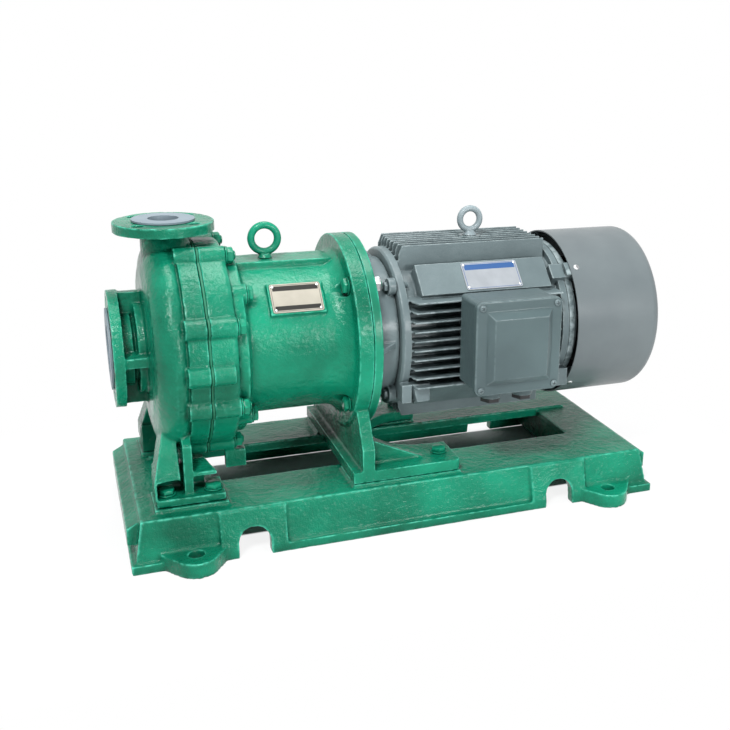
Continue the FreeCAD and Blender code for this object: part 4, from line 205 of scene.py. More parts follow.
def build_corner_shade():
    """Painted shade: darker in corners and narrow gaps where the ambient occlusion closes in,
    in uneven patches.
    """
    group, enter, leave = new_group("corner_shade", {"Reach": 0.02, "Amount": 0.5}, ("Mask",))
    wire = Wiring(group)
    place = wire.place()
    corner = wire.node("ShaderNodeAmbientOcclusion", links={"Distance": enter.outputs["Reach"]},
                       samples=CORNER_SAMPLES).outputs["AO"]
    closed = wire.spread(corner, *CORNER_RANGE)
    patch = wire.spread(wire.noise(place, PATCH_SCALE, detail=5.0, roughness=0.6), *PATCH_RANGE)
    mask = wire.math("MULTIPLY", closed, wire.math("ADD", patch, PATCH_LEAST))
    mask = wire.math("MULTIPLY", mask, enter.outputs["Amount"], clamp=True)
    group.links.new(mask, leave.inputs["Mask"])
    return group


CAST_SKIN = build_cast_skin()
TURNED_MARKS = build_turned_marks()
CORNER_SHADE_GROUP = build_corner_shade()


def new_material(name):
    """A new material with its wiring and its main shader."""
    material = bpy.data.materials.new(name)
    material.use_nodes = True
    tree = material.node_tree
    shader = tree.nodes["Principled BSDF"]
    return material, Wiring(tree), shader


def use_group(wire, group, **values):
    """The outputs of a shader group put into a material, with its inputs set."""
    made = wire.tree.nodes.new("ShaderNodeGroup")
    made.node_tree = group
    for key, value in values.items():
        made.inputs[key.replace("_", " ").title()].default_value = value
    return made.outputs


def bump_from(wire, shader, height, distance):
    """Lets a height from 0 to 1 show as relief of the given depth."""
    bump = wire.node("ShaderNodeBump", {"Distance": distance}, {"Height": height})
    wire.tree.links.new(bump.outputs["Normal"], shader.inputs["Normal"])


COAT_ROUGHNESS = 0.12


def paint_gloss(shader, level, coat):
    """How strongly a painted face mirrors what is round it."""
    shader.inputs["Specular IOR Level"].default_value = level
    shader.inputs["Coat Weight"].default_value = coat
    shader.inputs["Coat Roughness"].default_value = COAT_ROUGHNESS


def darker(colour, share):
    """A colour brought down to a share of its light."""
    return tuple(part * share for part in colour)


def worn_surface(wire, shader, tone, mask, roughness, in_deep, on_plain):
    """The base colour, with a roughness that runs with the tone mask."""
    wire.tree.links.new(tone, shader.inputs["Base Color"])
    rough = wire.spread(mask, 0, 1, roughness * in_deep, roughness * on_plain)
    wire.tree.links.new(rough, shader.inputs["Roughness"])


def cast_paint(name, colours, roughness, gloss, lump=0.0020, lump_scale=115.0, corner_shade=0.8):
    """Brushed-on paint over a rough casting."""
    colour, deep, edge_highlight = colours
    material, wire, shader = new_material(name)
    skin = use_group(wire, CAST_SKIN, lump_scale=lump_scale)
    shaded_corners = use_group(wire, CORNER_SHADE_GROUP, amount=corner_shade)
    tone = wire.blend(skin["Tone"], deep, colour)
    # Painted highlight on sharp edges
    tone = wire.blend(skin["Edge"], tone, edge_highlight)
    # Painted shade in hollows
    tone = wire.blend(skin["Hollow"], tone, deep)
    # Painted shade in corners and narrow gaps
    tone = wire.blend(shaded_corners["Mask"], tone, darker(deep, share=0.25))
    worn_surface(wire, shader, tone, skin["Tone"], roughness, in_deep=1.25, on_plain=0.85)
    paint_gloss(shader, level=gloss, coat=0.06)
    bump_from(wire, shader, skin["Height"], distance=lump)
    return material


def two_tone_flange(name, edge_x, front, back, roughness):
    """The flange disc is painted with the bracket, the bell behind it with the motor."""
    uneven = 1.5 * MM
    blur = 0.4 * MM
    # Colour of the painted shade in corners and narrow gaps
    corner_shade_colour = (0.004, 0.014, 0.012)
    material, wire, shader = new_material(name)
    skin = use_group(wire, CAST_SKIN, lump_scale=90.0)
    shaded_corners = use_group(wire, CORNER_SHADE_GROUP, amount=0.5)
    place = wire.place()
    along = wire.node("ShaderNodeSeparateXYZ", links={"Vector": place}).outputs["X"]
    wander = wire.spread(wire.noise(place, scale=60.0), 0, 1, -uneven, uneven)
    behind = wire.spread(wire.math("ADD", along, wander), edge_x - blur, edge_x + blur)
    colour, deep, edge_highlight = [wire.blend(behind, *pair) for pair in zip(front, back)]
    tone = wire.blend(skin["Tone"], deep, colour)
    # Painted highlight on sharp edges
    tone = wire.blend(skin["Edge"], tone, edge_highlight)
    # Painted shade in corners and narrow gaps
    tone = wire.blend(shaded_corners["Mask"], tone, corner_shade_colour)
    worn_surface(wire, shader, tone, skin["Tone"], roughness, in_deep=1.25, on_plain=0.85)
    paint_gloss(shader, level=0.22, coat=0.06)
    bump_from(wire, shader, skin["Height"], distance=0.4 * MM)
    return material


def sheet_paint(name, colour, deep, roughness):
    """Sprayed paint on sheet steel with a faint orange peel."""
    material, wire, shader = new_material(name)
    skin = use_group(wire, CAST_SKIN, lump_scale=25.0, grain_scale=600.0, grain=0.12)
    shaded_corners = use_group(wire, CORNER_SHADE_GROUP, amount=0.4)
    tone = wire.blend(skin["Tone"], deep, colour)
    # Painted shade in corners and narrow gaps
    tone = wire.blend(shaded_corners["Mask"], tone, darker(deep, share=0.3))
    worn_surface(wire, shader, tone, skin["Tone"], roughness, in_deep=1.15, on_plain=0.9)
    paint_gloss(shader, level=0.3, coat=0.05)
    bump_from(wire, shader, skin["Height"], distance=0.35 * MM)
    return material


def bare_metal(name, colour, dull, roughness, pitch=900.0):
    """Turned or plated metal with fine marks."""
    material, wire, shader = new_material(name)
    marks = use_group(wire, TURNED_MARKS, pitch_scale=pitch)
    shaded_corners = use_group(wire, CORNER_SHADE_GROUP, amount=0.3, reach=0.006)
    tone = wire.blend(marks["Tone"], dull, colour)
    # Painted shade in corners and narrow gaps
    tone = wire.blend(shaded_corners["Mask"], tone, darker(dull, share=0.2))
    worn_surface(wire, shader, tone, marks["Tone"], roughness, in_deep=1.4, on_plain=1.0)
    shader.inputs["Metallic"].default_value = 1.0
    bump_from(wire, shader, marks["Height"], distance=0.05 * MM)
    return material


def moulded(name, colour, deep, roughness, grain=0.15):
    """Moulded polymer, rubber or ceramic."""
    material, wire, shader = new_material(name)
    skin = use_group(wire, CAST_SKIN, lump_scale=90.0, grain_scale=1500.0, grain=grain)
    shaded_corners = use_group(wire, CORNER_SHADE_GROUP, amount=0.35, reach=0.008)
    tone = wire.blend(skin["Tone"], deep, colour)
    # Painted shade in corners and narrow gaps
    tone = wire.blend(shaded_corners["Mask"], tone, darker(deep, share=0.35))
    worn_surface(wire, shader, tone, skin["Tone"], roughness, in_deep=1.2, on_plain=0.9)
    shader.inputs["Specular IOR Level"].default_value = 0.3
    bump_from(wire, shader, skin["Height"], distance=0.1 * MM)
    return material


def laminated(name):
    """Stacked electrical sheets, seen edge on along the shaft."""
    dark_edge, light_edge = (0.10, 0.10, 0.11), (0.28, 0.28, 0.29)
    material, wire, shader = new_material(name)
    place = wire.place()
    layers = wire.node("ShaderNodeTexWave", {"Scale": 300.0, "Distortion": 0.4},
                       {"Vector": place}, bands_direction="X")
    tone = wire.blend(layers.outputs["Fac"], dark_edge, light_edge)
    wire.tree.links.new(tone, shader.inputs["Base Color"])
    shader.inputs["Metallic"].default_value = 0.8
    shader.inputs["Roughness"].default_value = 0.5
    bump_from(wire, shader, layers.outputs["Fac"], distance=0.1 * MM)
    return material


def wound_copper(name):
    """Varnished wire in bundles that run round the core."""
    between, crest = (0.30, 0.09, 0.03), (0.66, 0.28, 0.11)
    material, wire, shader = new_material(name)
    place = wire.place()
    strands = wire.node("ShaderNodeTexWave",
                        {"Scale": 140.0, "Distortion": 2.5, "Detail": 2.0},
                        {"Vector": place}, bands_direction="DIAGONAL")
    tone = wire.blend(strands.outputs["Fac"], between, crest)
    wire.tree.links.new(tone, shader.inputs["Base Color"])
    shader.inputs["Metallic"].default_value = 0.7
    shader.inputs["Roughness"].default_value = 0.3
    bump_from(wire, shader, strands.outputs["Fac"], distance=0.6 * MM)
    return material


# Print on a rating plate, as distances from its middle in shares of its length and
# width. Each pair is where the print stops and where it is full.
BANDS_ALONG, BANDS_ACROSS = (0.452, 0.446), (0.425, 0.418)
LINE_OUT_ALONG, LINE_OUT_ACROSS = (0.478, 0.474), (0.462, 0.456)
LINE_IN_ALONG, LINE_IN_ACROSS = (0.470, 0.466), (0.448, 0.442)
BAND_MARGIN = 0.074
BAND_BLUR = 0.008
# Colour of the painted shade in the corners of the plates
PLATE_CORNER_SHADE = (0.03, 0.035, 0.035)


def plate_face(name, field, print_colour, header_share, footer_share):
    """A bare rating plate: a field between a plain header and footer band, inside a
    printed line. The plate map runs from 0 to 1 along and across the plate."""
    material, wire, shader = new_material(name)
    place = wire.node("ShaderNodeUVMap", uv_map="plate").outputs["UV"]
    split = wire.node("ShaderNodeSeparateXYZ", links={"Vector": place})
    across = split.outputs["Y"]
    off_along = wire.math("ABSOLUTE", wire.math("SUBTRACT", split.outputs["X"], 0.5))
    off_across = wire.math("ABSOLUTE", wire.math("SUBTRACT", across, 0.5))

    def panel(along_range, across_range):
        return wire.math("MULTIPLY", wire.spread(off_along, *along_range),
                         wire.spread(off_across, *across_range))
    low = BAND_MARGIN + footer_share
    high = 1 - BAND_MARGIN - header_share
    top = wire.spread(across, high - BAND_BLUR, high)
    bottom = wire.spread(across, low + BAND_BLUR, low)
    bands = wire.math("MULTIPLY", wire.math("MAXIMUM", top, bottom),
                      panel(BANDS_ALONG, BANDS_ACROSS))
    line = wire.math("SUBTRACT", panel(LINE_OUT_ALONG, LINE_OUT_ACROSS),
                     panel(LINE_IN_ALONG, LINE_IN_ACROSS), clamp=True)
    marks = use_group(wire, TURNED_MARKS, pitch_scale=600.0)
    worn = wire.blend(marks["Tone"], darker(field, share=0.85), field)
    tone = wire.blend(wire.math("MAXIMUM", bands, line, clamp=True), worn, print_colour)
    # Painted shade in corners and narrow gaps
    shaded_corners = use_group(wire, CORNER_SHADE_GROUP, amount=0.6, reach=0.004)
    tone = wire.blend(shaded_corners["Mask"], tone, PLATE_CORNER_SHADE)
    wire.tree.links.new(tone, shader.inputs["Base Color"])
    shader.inputs["Metallic"].default_value = 0.1
    shader.inputs["Roughness"].default_value = 0.36
    shader.inputs["Specular IOR Level"].default_value = 0.25
    bump_from(wire, shader, marks["Height"], distance=0.04 * MM)
    return material


# Paint colours: the plain coat; a darker coat for the random tone and for painted shade in
# hollows and corners; and a painted highlight on sharp edges
GREEN = ((0.004, 0.208, 0.117), (0.001, 0.076, 0.041), (0.062, 0.430, 0.300))
GREY = ((0.125, 0.165, 0.172), (0.075, 0.102, 0.108), (0.235, 0.285, 0.292))
# The terminal box's grey is a darker copy of the motor grey, painting the shade on its front
SHADED_BOX_GREY = ((0.066, 0.098, 0.102), (0.046, 0.070, 0.074), (0.180, 0.230, 0.235))
EYE_GREY = ((0.230, 0.280, 0.295), (0.125, 0.165, 0.178), (0.300, 0.350, 0.360))

# The finish of each material slot: how it is made and its values
SLOT_FINISHES = {
    "green_enamel": (cast_paint, dict(colours=GREEN, roughness=0.17, gloss=0.17)),
    "green_eye": (cast_paint, dict(colours=GREEN, roughness=0.24, gloss=0.20, lump=0.0008)),
    "motor_paint": (cast_paint, dict(colours=GREY, roughness=0.38, gloss=0.26, lump=0.0004,
                                     lump_scale=120.0)),
    "grey_eye": (cast_paint, dict(colours=EYE_GREY, roughness=0.35, gloss=0.3, lump=0.0003)),
    "cowl_paint": (sheet_paint, dict(colour=(0.122, 0.143, 0.148),
                                     deep=(0.092, 0.110, 0.116), roughness=0.32)),
    "liner_polymer": (moulded, dict(colour=(0.18, 0.23, 0.26), deep=(0.14, 0.18, 0.21),
                                    roughness=0.45)),
    "gasket_sheet": (moulded, dict(colour=(0.03, 0.03, 0.03), deep=(0.015, 0.015, 0.015),
                                   roughness=0.7)),
    "shell_composite": (moulded, dict(colour=(0.06, 0.06, 0.065), deep=(0.03, 0.03, 0.03),
                                      roughness=0.4, grain=0.5)),
    "ceramic": (moulded, dict(colour=(0.80, 0.76, 0.66), deep=(0.68, 0.64, 0.55),
                              roughness=0.18)),
    "wet_polymer": (moulded, dict(colour=(0.62, 0.69, 0.70), deep=(0.50, 0.58, 0.60),
                                  roughness=0.4)),
    "magnet": (bare_metal, dict(colour=(0.40, 0.40, 0.42), dull=(0.24, 0.24, 0.26),
                                roughness=0.35)),
    "machined_steel": (bare_metal, dict(colour=(0.62, 0.62, 0.62), dull=(0.42, 0.42, 0.43),
                                        roughness=0.25)),
    "core_steel": (laminated, {}),
    "cage_aluminium": (bare_metal, dict(colour=(0.72, 0.73, 0.74), dull=(0.5, 0.5, 0.51),
                                        roughness=0.4)),
    "copper": (wound_copper, {}),
    "fan_plastic": (moulded, dict(colour=(0.035, 0.036, 0.038), deep=(0.02, 0.02, 0.021),
                                  roughness=0.45)),
    "zinc_steel": (bare_metal, dict(colour=(0.74, 0.75, 0.76), dull=(0.50, 0.51, 0.52),
                                    roughness=0.28, pitch=500.0)),
    "plate_metal": (bare_metal, dict(colour=(0.80, 0.81, 0.82), dull=(0.6, 0.61, 0.62),
                                     roughness=0.35)),
}
FINISHES = {name: maker(name, **values) for name, (maker, values) in SLOT_FINISHES.items()}

# Finishes of single pieces. Painted bolts have no painted edge highlight: their third colour is
# their plain coat.
GREEN_BOLT = cast_paint("painted_bolt", (GREEN[0], GREEN[1], GREEN[0]), roughness=0.26,
                        gloss=0.2, lump=0.0003, lump_scale=150.0, corner_shade=0.9)
GREY_BOLT = cast_paint("painted_motor_bolt", (GREY[0], GREY[1], GREY[0]), roughness=0.36,
                       gloss=0.26, lump=0.0002, lump_scale=150.0, corner_shade=0.8)
# Darker copy of the motor paint, standing in for the shade on the terminal box's front
SHADED_BOX_PAINT = cast_paint("shaded_box_paint", SHADED_BOX_GREY, roughness=0.38, gloss=0.26, lump=0.0003,
                       lump_scale=120.0)
PUMP_PLATE = plate_face("pump_plate_face", field=(0.32, 0.30, 0.25),
                        print_colour=(0.012, 0.012, 0.010), header_share=0.17,
                        footer_share=0.15)
MOTOR_PLATE = plate_face("motor_plate_face", field=(0.27, 0.29, 0.31),
                         print_colour=(0.025, 0.075, 0.20), header_share=0.20,
                         footer_share=0.0)
JOINT_PAINT = moulded("joint_paint", (0.003, 0.150, 0.078), (0.002, 0.080, 0.040),
                      roughness=0.5)
FLANGE_PAINT = two_tone_flange("two_tone_flange", edge_x=-0.0495, front=GREEN, back=GREY,
                               roughness=0.32)

SLOT_OF = {row["node"]: row["material_slot"] for row in frame["record"]["subparts"]}
BODY_OF = {node: body for body, nodes in frame["record"]["behaviour"]["bodies"].items()
           for node in nodes}


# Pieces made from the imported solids

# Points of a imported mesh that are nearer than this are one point
JOIN_DISTANCE = 0.02 * MM


def settle(piece, node, material=None):
    """The piece stands for a node of the frame and moves with that node's body."""
    piece.data.materials.clear()
    piece.data.materials.append(material or FINISHES[SLOT_OF[node]])
    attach(piece, BODY_OF[node])
    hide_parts(node)


def new_object(name, data):
    """Puts a mesh, lamp or camera into the scene."""
    made = bpy.data.objects.new(name, data)
    bpy.context.scene.collection.objects.link(made)
    return made


def joined_shape(node):
    """A working copy of a node's mesh with its corner points joined."""
    shape = bmesh.new()
    shape.from_mesh(frame["nodes"][node].data)
    bmesh.ops.remove_doubles(shape, verts=shape.verts, dist=JOIN_DISTANCE)
    return shape


def mesh_from(shape, name):
    """A mesh made from a working shape, which is then freed."""
    mesh = bpy.data.meshes.new(name)
    shape.to_mesh(mesh)
    shape.free()
    return mesh


def applied(piece):
    """Replaces a piece's mesh with the result of its modifiers."""
    bpy.context.view_layer.update()
    seen = piece.evaluated_get(bpy.context.evaluated_depsgraph_get())
    mesh = bpy.data.meshes.new_from_object(seen)
    mesh.name = piece.data.name
    piece.modifiers.clear()
    piece.data = mesh


def lump_texture(name, size):
    """A cloudy texture for the uneven skin of a casting."""
    texture = bpy.data.textures.new(name, "CLOUDS")
    texture.noise_scale = size
    texture.noise_depth = 2
    return texture


LUMPS = (lump_texture("broad_lumps", 30 * MM), lump_texture("small_lumps", 9 * MM))
# The tone of a lump that leaves the skin where it is. Most of the skin sinks a little.
LUMP_CREST = 0.9


def cast_copy(node, voxel, smoothing, lump_heights, material, reshape):
    """Adds a node with the rounded edges and uneven skin of a casting."""
    name = node + "_cast"
    piece = new_object(name, mesh_from(joined_shape(node), name))
    if reshape:
        reshape(piece.data)
    remesh = piece.modifiers.new("remesh", "REMESH")
    remesh.mode = "VOXEL"
    remesh.voxel_size = voxel
    remesh.use_smooth_shade = True
    smooth = piece.modifiers.new("smooth", "SMOOTH")
    smooth.factor = 0.5
    smooth.iterations = smoothing
    for texture, height in zip(LUMPS, lump_heights):
        push = piece.modifiers.new("push", "DISPLACE")
        push.texture = texture
        push.texture_coords = "GLOBAL"
        push.strength = height
        push.mid_level = LUMP_CREST
    applied(piece)
    settle(piece, node, material)


# The raised panel of the terminal cover: its middle, the plane that its front lies beyond,
# the share that it is drawn in to, and how much further out it stands
PANEL_X = 0.166
PANEL_Z = 0.335
PANEL_FRONT = -0.2505
PANEL_DRAW = 0.87
PANEL_EXTRA = 3 * MM


def steeper_panel(mesh):
    """Draws in the front of the cover's raised panel, which gives it broad bevels."""
    for vertex in mesh.vertices:
        place = vertex.co
        if place.y < PANEL_FRONT:
            place.x = PANEL_X + (place.x - PANEL_X) * PANEL_DRAW
            place.z = PANEL_Z + (place.z - PANEL_Z) * PANEL_DRAW
            place.y -= PANEL_EXTRA


# Castings: voxel size, rounds of smoothing, height of broad and of small lumps, finish
# and change of shape. Lengths are in millimetres.
CASTINGS = (
    ("baseplate", 2.2, 3, 1.0, 0.5, None, None),
    ("pump_casing", 1.8, 3, 1.2, 0.6, None, None),
    ("rear_cover", 1.8, 3, 0.9, 0.5, None, None),
    ("motor_bracket", 1.8, 3, 1.0, 0.5, None, None),
    ("motor_flange_shield", 1.6, 2, 0.5, 0.3, FLANGE_PAINT, None),
    ("motor_frame", 1.3, 2, 0.3, 0.2, None, None),
    ("terminal_box", 1.3, 3, 0.3, 0.1, SHADED_BOX_PAINT, None),
    ("terminal_cover", 1.1, 3, 0.3, 0.1, SHADED_BOX_PAINT, steeper_panel),
    ("pump_lifting_eye", 0.9, 4, 0.3, 0.2, None, None),
    ("motor_lifting_eye", 0.9, 4, 0.2, 0.1, None, None),
)


def make_castings():
    """Adds every casting of the table."""
    for node, voxel, smoothing, broad, small, material, reshape in CASTINGS:
        cast_copy(node, voxel * MM, smoothing, (broad * MM, small * MM), material, reshape)


def box_round(places):
    """The lowest and highest corner of the box round some places."""
    low = Vector([min(place[k] for place in places) for k in range(3)])
    high = Vector([max(place[k] for place in places) for k in range(3)])
    return low, high


def solids_of(node):
    """The lowest and highest corner of each separate solid in a node."""
    shape = joined_shape(node)
    left = set(shape.verts)
    found = []
    while left:
        group = [left.pop()]
        for vertex in group:
            for edge in vertex.link_edges:
                other = edge.other_vert(vertex)
                if other in left:
                    left.remove(other)
                    group.append(other)
        found.append(box_round([vertex.co for vertex in group]))
    shape.free()
    return sorted(found, key=lambda pair: tuple(round(x, 4) for x in pair[0]))


# Round and six-sided shapes about local Z

def facing(direction, place):
    """The placing that turns local Z to a direction at a place."""
    turn = Vector((0, 0, 1)).rotation_difference(direction).to_matrix().to_4x4()
    return Matrix.Translation(place) @ turn


def ring_of_points(shape, radius_at, height, count):
    """Points round local Z, where radius_at gives their distance from it at an angle."""
    points = []
    for index in range(count):
        angle = TURN * index / count
        radius = radius_at(angle)
        points.append(shape.verts.new((radius * math.cos(angle), radius * math.sin(angle),
                                       height)))
    return points


def skin_between(shape, lower, upper):
    """Faces between two rings with the same number of points."""
    count = len(lower)
    for index in range(count):
        after = (index + 1) % count
        shape.faces.new((lower[index], lower[after], upper[after], upper[index]))


def closed_skin(shape, rings):
    """Faces between rings that lie one above another, and a face at each end."""
    for lower, upper in zip(rings, rings[1:]):
        skin_between(shape, lower, upper)
    shape.faces.new(list(reversed(rings[0])))
    shape.faces.new(rings[-1])


def turned_solid(shape, profile, count):
    """A closed round solid from radius and height pairs."""
    rings = []
    for radius, height in profile:
        rings.append(ring_of_points(shape, lambda angle: radius, height, count))
    closed_skin(shape, rings)


HEXAGON_POINTS = 48
# How far the seat and the crown of a forged head are turned off, as a share of its flats
SEAT_SHARE, CROWN_SHARE = 0.97, 0.95


def hexagon(shape, across, low, high, dome):
    """A hexagon with its corners turned off at both ends, as on a forged head."""
    corner = across / math.sqrt(3)
    flat = across / 2
    rings = []
    for limit, height in ((flat * SEAT_SHARE, low), (corner, low + dome),
                          (corner, high - dome), (flat * CROWN_SHARE, high)):
        def radius_at(angle):
            off_flat = (angle % (TURN / 6)) - TURN / 12
            return min(flat / math.cos(off_flat), limit)
        rings.append(ring_of_points(shape, radius_at, height, HEXAGON_POINTS))
    closed_skin(shape, rings)


SHANK_POINTS = 24
# Radii along a threaded end, as shares of the full radius: where the thread begins, between
# two ridges, behind the chamfer and at the tip
THREAD_START, THREAD_VALLEY, THREAD_LAST, THREAD_TIP = 0.86, 0.90, 0.93, 0.72


def thread(shape, radius, root, tip, pitch):
    """A threaded end: ridges along local Z from the root to a chamfered tip."""
    way = math.copysign(1, tip - root)
    length = abs(tip - root)
    half = pitch * 0.5
    profile = [(radius * THREAD_START, root)]
    reach = half
    while reach < length - pitch:
        profile.append((radius, root + way * reach))
        profile.append((radius * THREAD_VALLEY, root + way * (reach + half)))
        reach += pitch
    profile.append((radius * THREAD_LAST, tip - way * half))
    profile.append((radius * THREAD_TIP, tip))
    turned_solid(shape, profile, SHANK_POINTS)


def placed(shape, place):
    """A mesh made from a working shape, moved to its place."""
    shape.transform(place)
    return mesh_from(shape, "part")


# Edges that bend more than this stay sharp
SHARP_ANGLE = math.radians(35)


def merged(name, meshes):
    """One piece made of several meshes, which are used up."""
    whole = bmesh.new()
    for mesh in meshes:
        whole.from_mesh(mesh)
        bpy.data.meshes.remove(mesh)
    bmesh.ops.recalc_face_normals(whole, faces=whole.faces)
    for face in whole.faces:
        face.smooth = True
    for edge in whole.edges:
        if len(edge.link_faces) == 2 and edge.calc_face_angle(0) > SHARP_ANGLE:
            edge.smooth = False
    return new_object(name, mesh_from(whole, name))


# Bolts, nuts and studs of the 16 mm size. Smaller ones are scaled from them.

BOLT_FLATS = 24 * MM
BOLT_HEAD = 10 * MM
BOLT_DOME = 1.3 * MM
BOLT_RADIUS = 8 * MM
SHANK_LEAST = 1 * MM
NUT_DOME = 1.5 * MM
THREAD_PITCH = 2 * MM
THREAD_LENGTH = 24 * MM
WASHER_RADIUS = 15 * MM
WASHER = 2.4 * MM
WASHER_EDGE = 0.4 * MM
WASHER_POINTS = 40
SHIELD_BOLT_SCALE = 0.625

TO_MOTOR = Vector((1, 0, 0))
TO_PUMP = Vector((-1, 0, 0))
TO_VIEWER = Vector((0, -1, 0))
UP = Vector((0, 0, 1))


def tightened(index, first, step):
    """The angle at which one head of a row came to rest, so that no two are alike."""
    return Matrix.Rotation(step * index + first, 4, "Z")


def washer_disc(shape, scale):
    """A flat washer with its seat at zero."""
    edge = WASHER_EDGE * scale
    radius = WASHER_RADIUS * scale
    top = WASHER * scale
    turned_solid(shape, [(radius - edge, 0), (radius, edge), (radius, top - edge),
                         (radius - edge, top)], WASHER_POINTS)


def bolt_row(node, direction, material, washer=True, scale=1.0):
    """Hexagon bolts: head, washer, shank and threaded end for each solid of a node."""
    head = BOLT_HEAD * scale
    radius = BOLT_RADIUS * scale
    rise = WASHER * scale if washer else 0.0
    meshes = []
    for index, (low, high) in enumerate(solids_of(node)):
        reach = abs((high - low).dot(direction)) / 2
        seat = (low + high) / 2 + direction * (reach - head)
        tip = head - 2 * reach
        root = min(tip + THREAD_LENGTH * scale, -SHANK_LEAST)
        shape = bmesh.new()
        hexagon(shape, BOLT_FLATS * scale, rise, head, BOLT_DOME * scale)
        turned_solid(shape, [(radius, root), (radius, rise)], SHANK_POINTS)
        thread(shape, radius, root, tip, THREAD_PITCH * scale)
        if washer:
            washer_disc(shape, scale)
        place = facing(direction, seat) @ tightened(index, first=0.2, step=0.7)
        meshes.append(placed(shape, place))
    settle(merged(node + "_turned", meshes), node, material)


def nut_row(node, direction, material):
    """Hexagon nuts, each on a thin washer."""
    meshes = []
    for index, (low, high) in enumerate(solids_of(node)):
        height = abs((high - low).dot(direction))
        seat = (low + high) / 2 - direction * height / 2
        shape = bmesh.new()
        hexagon(shape, BOLT_FLATS, WASHER, height, NUT_DOME)
        washer_disc(shape, 1.0)
        place = facing(direction, seat) @ tightened(index, first=0.4, step=0.9)
        meshes.append(placed(shape, place))
    settle(merged(node + "_turned", meshes), node, material)


def stud_row(node, direction, material):
    """Plain studs with a thread at the end that carries the nut."""
    meshes = []
    for low, high in solids_of(node):
        reach = abs((high - low).dot(direction)) / 2
        root = reach - THREAD_LENGTH
        shape = bmesh.new()
        turned_solid(shape, [(BOLT_RADIUS, -reach), (BOLT_RADIUS, root)], SHANK_POINTS)
        thread(shape, BOLT_RADIUS, root, reach, THREAD_PITCH)
        meshes.append(placed(shape, facing(direction, (low + high) / 2)))
    settle(merged(node + "_turned", meshes), node, material)


# Cross recessed screws. The bar that cuts half of the recess has a length, a width and
# twice the depth.

SCREW_HEAD_RADIUS = 6 * MM
SCREW_HEAD = 4 * MM
SCREW_RIM = 0.5 * MM
SCREW_RIM_SHARE = 0.97
SCREW_DOME_SHARE = 0.98
SCREW_TOP_RADIUS = 0.1 * MM
SCREW_HEAD_POINTS = 40
SCREW_RADIUS = 3 * MM
SCREW_TIP_SHARE = 0.8
SCREW_TIP = 1 * MM
SCREW_POINTS = 16
CROSS_BAR = (6.6 * MM, 1.3 * MM, 3.4 * MM)
DOME_STEPS = 6
DOME_ANGLES = [step * math.pi / (2 * DOME_STEPS) for step in range(1, DOME_STEPS + 1)]


def cross_head_mesh():
    """A domed screw head, seat at zero, with a cross recess cut into it."""
    profile = [(SCREW_HEAD_RADIUS * SCREW_RIM_SHARE, 0), (SCREW_HEAD_RADIUS, SCREW_RIM)]
    for angle in DOME_ANGLES:
        radius = SCREW_HEAD_RADIUS * math.cos(angle) * SCREW_DOME_SHARE + SCREW_TOP_RADIUS
        profile.append((radius, SCREW_RIM + (SCREW_HEAD - SCREW_RIM) * math.sin(angle)))
    shape = bmesh.new()
    turned_solid(shape, profile, SCREW_HEAD_POINTS)
    bmesh.ops.recalc_face_normals(shape, faces=shape.faces)
    head = new_object("cross_head_blank", mesh_from(shape, "cross_head"))
    bars = []
    for turn in (0.0, math.pi / 2):
        cutter = bmesh.new()
        bmesh.ops.create_cube(cutter, size=1.0)
        cutter.transform(Matrix.Translation((0, 0, SCREW_HEAD)) @ Matrix.Rotation(turn, 4, "Z")
                         @ Matrix.Diagonal((*CROSS_BAR, 1)))
        bar = new_object("cross_bar", mesh_from(cutter, "cross_bar"))
        cut = head.modifiers.new("cut", "BOOLEAN")
        cut.operation = "DIFFERENCE"
        cut.solver = "EXACT"
        cut.object = bar
        bars.append(bar)
    applied(head)
    mesh = head.data
    for item in [head] + bars:
        bpy.data.objects.remove(item)
    return mesh


def out_of_cover(place):
    """The screws of the terminal cover point to the viewer."""
    return TO_VIEWER


def out_of_cowl(place):
    """The screws of the cowl point away from the shaft line."""
    return Vector((0, place.y, place.z - SHAFT_HEIGHT)).normalized()


def screw_row(node, direction_at, material):
    """Cross recessed screws, square to the shaft, with the way out of each head."""
    blank = cross_head_mesh()
    meshes = []
    for index, (low, high) in enumerate(solids_of(node)):
        middle = (low + high) / 2
        direction = direction_at(middle)
        lean = 2 * SCREW_HEAD_RADIUS * abs(direction.z)
        length = ((high - low).y - lean) / abs(direction.y)
        seat = middle + direction * (length / 2 - SCREW_HEAD)
        place = facing(direction, seat) @ tightened(index, first=0.3, step=0.5)
        head = blank.copy()
        head.transform(place)
        tip = SCREW_HEAD - length
        shape = bmesh.new()
        turned_solid(shape, [(SCREW_RADIUS * SCREW_TIP_SHARE, tip),
                             (SCREW_RADIUS, tip + SCREW_TIP), (SCREW_RADIUS, 0)],
                     SCREW_POINTS)
        meshes += [head, placed(shape, place)]
    bpy.data.meshes.remove(blank)
    settle(merged(node + "_turned", meshes), node, material)


# Rating plates. Both are tilted about the shaft line. The pump's has X below PLATES_PARTED.

PUMP_PLATE_TILT = math.radians(48)
MOTOR_PLATE_TILT = math.radians(45)
PLATES_PARTED = -0.1
PLATE_ROUNDING = 4 * MM
PLATE_EDGE = 0.3 * MM
PLATE_CORNER_STEPS = 6
RIVET_RADIUS = 2.5 * MM
RIVET_DOME = 1.2 * MM
RIVET_SINK = 0.6 * MM
RIVET_POINTS = 20


def plate_frame(tilt):
    """The placing of a tilted seat: X along, Y across and Z out of the plate."""
    return Matrix.Rotation(tilt, 4, "X")


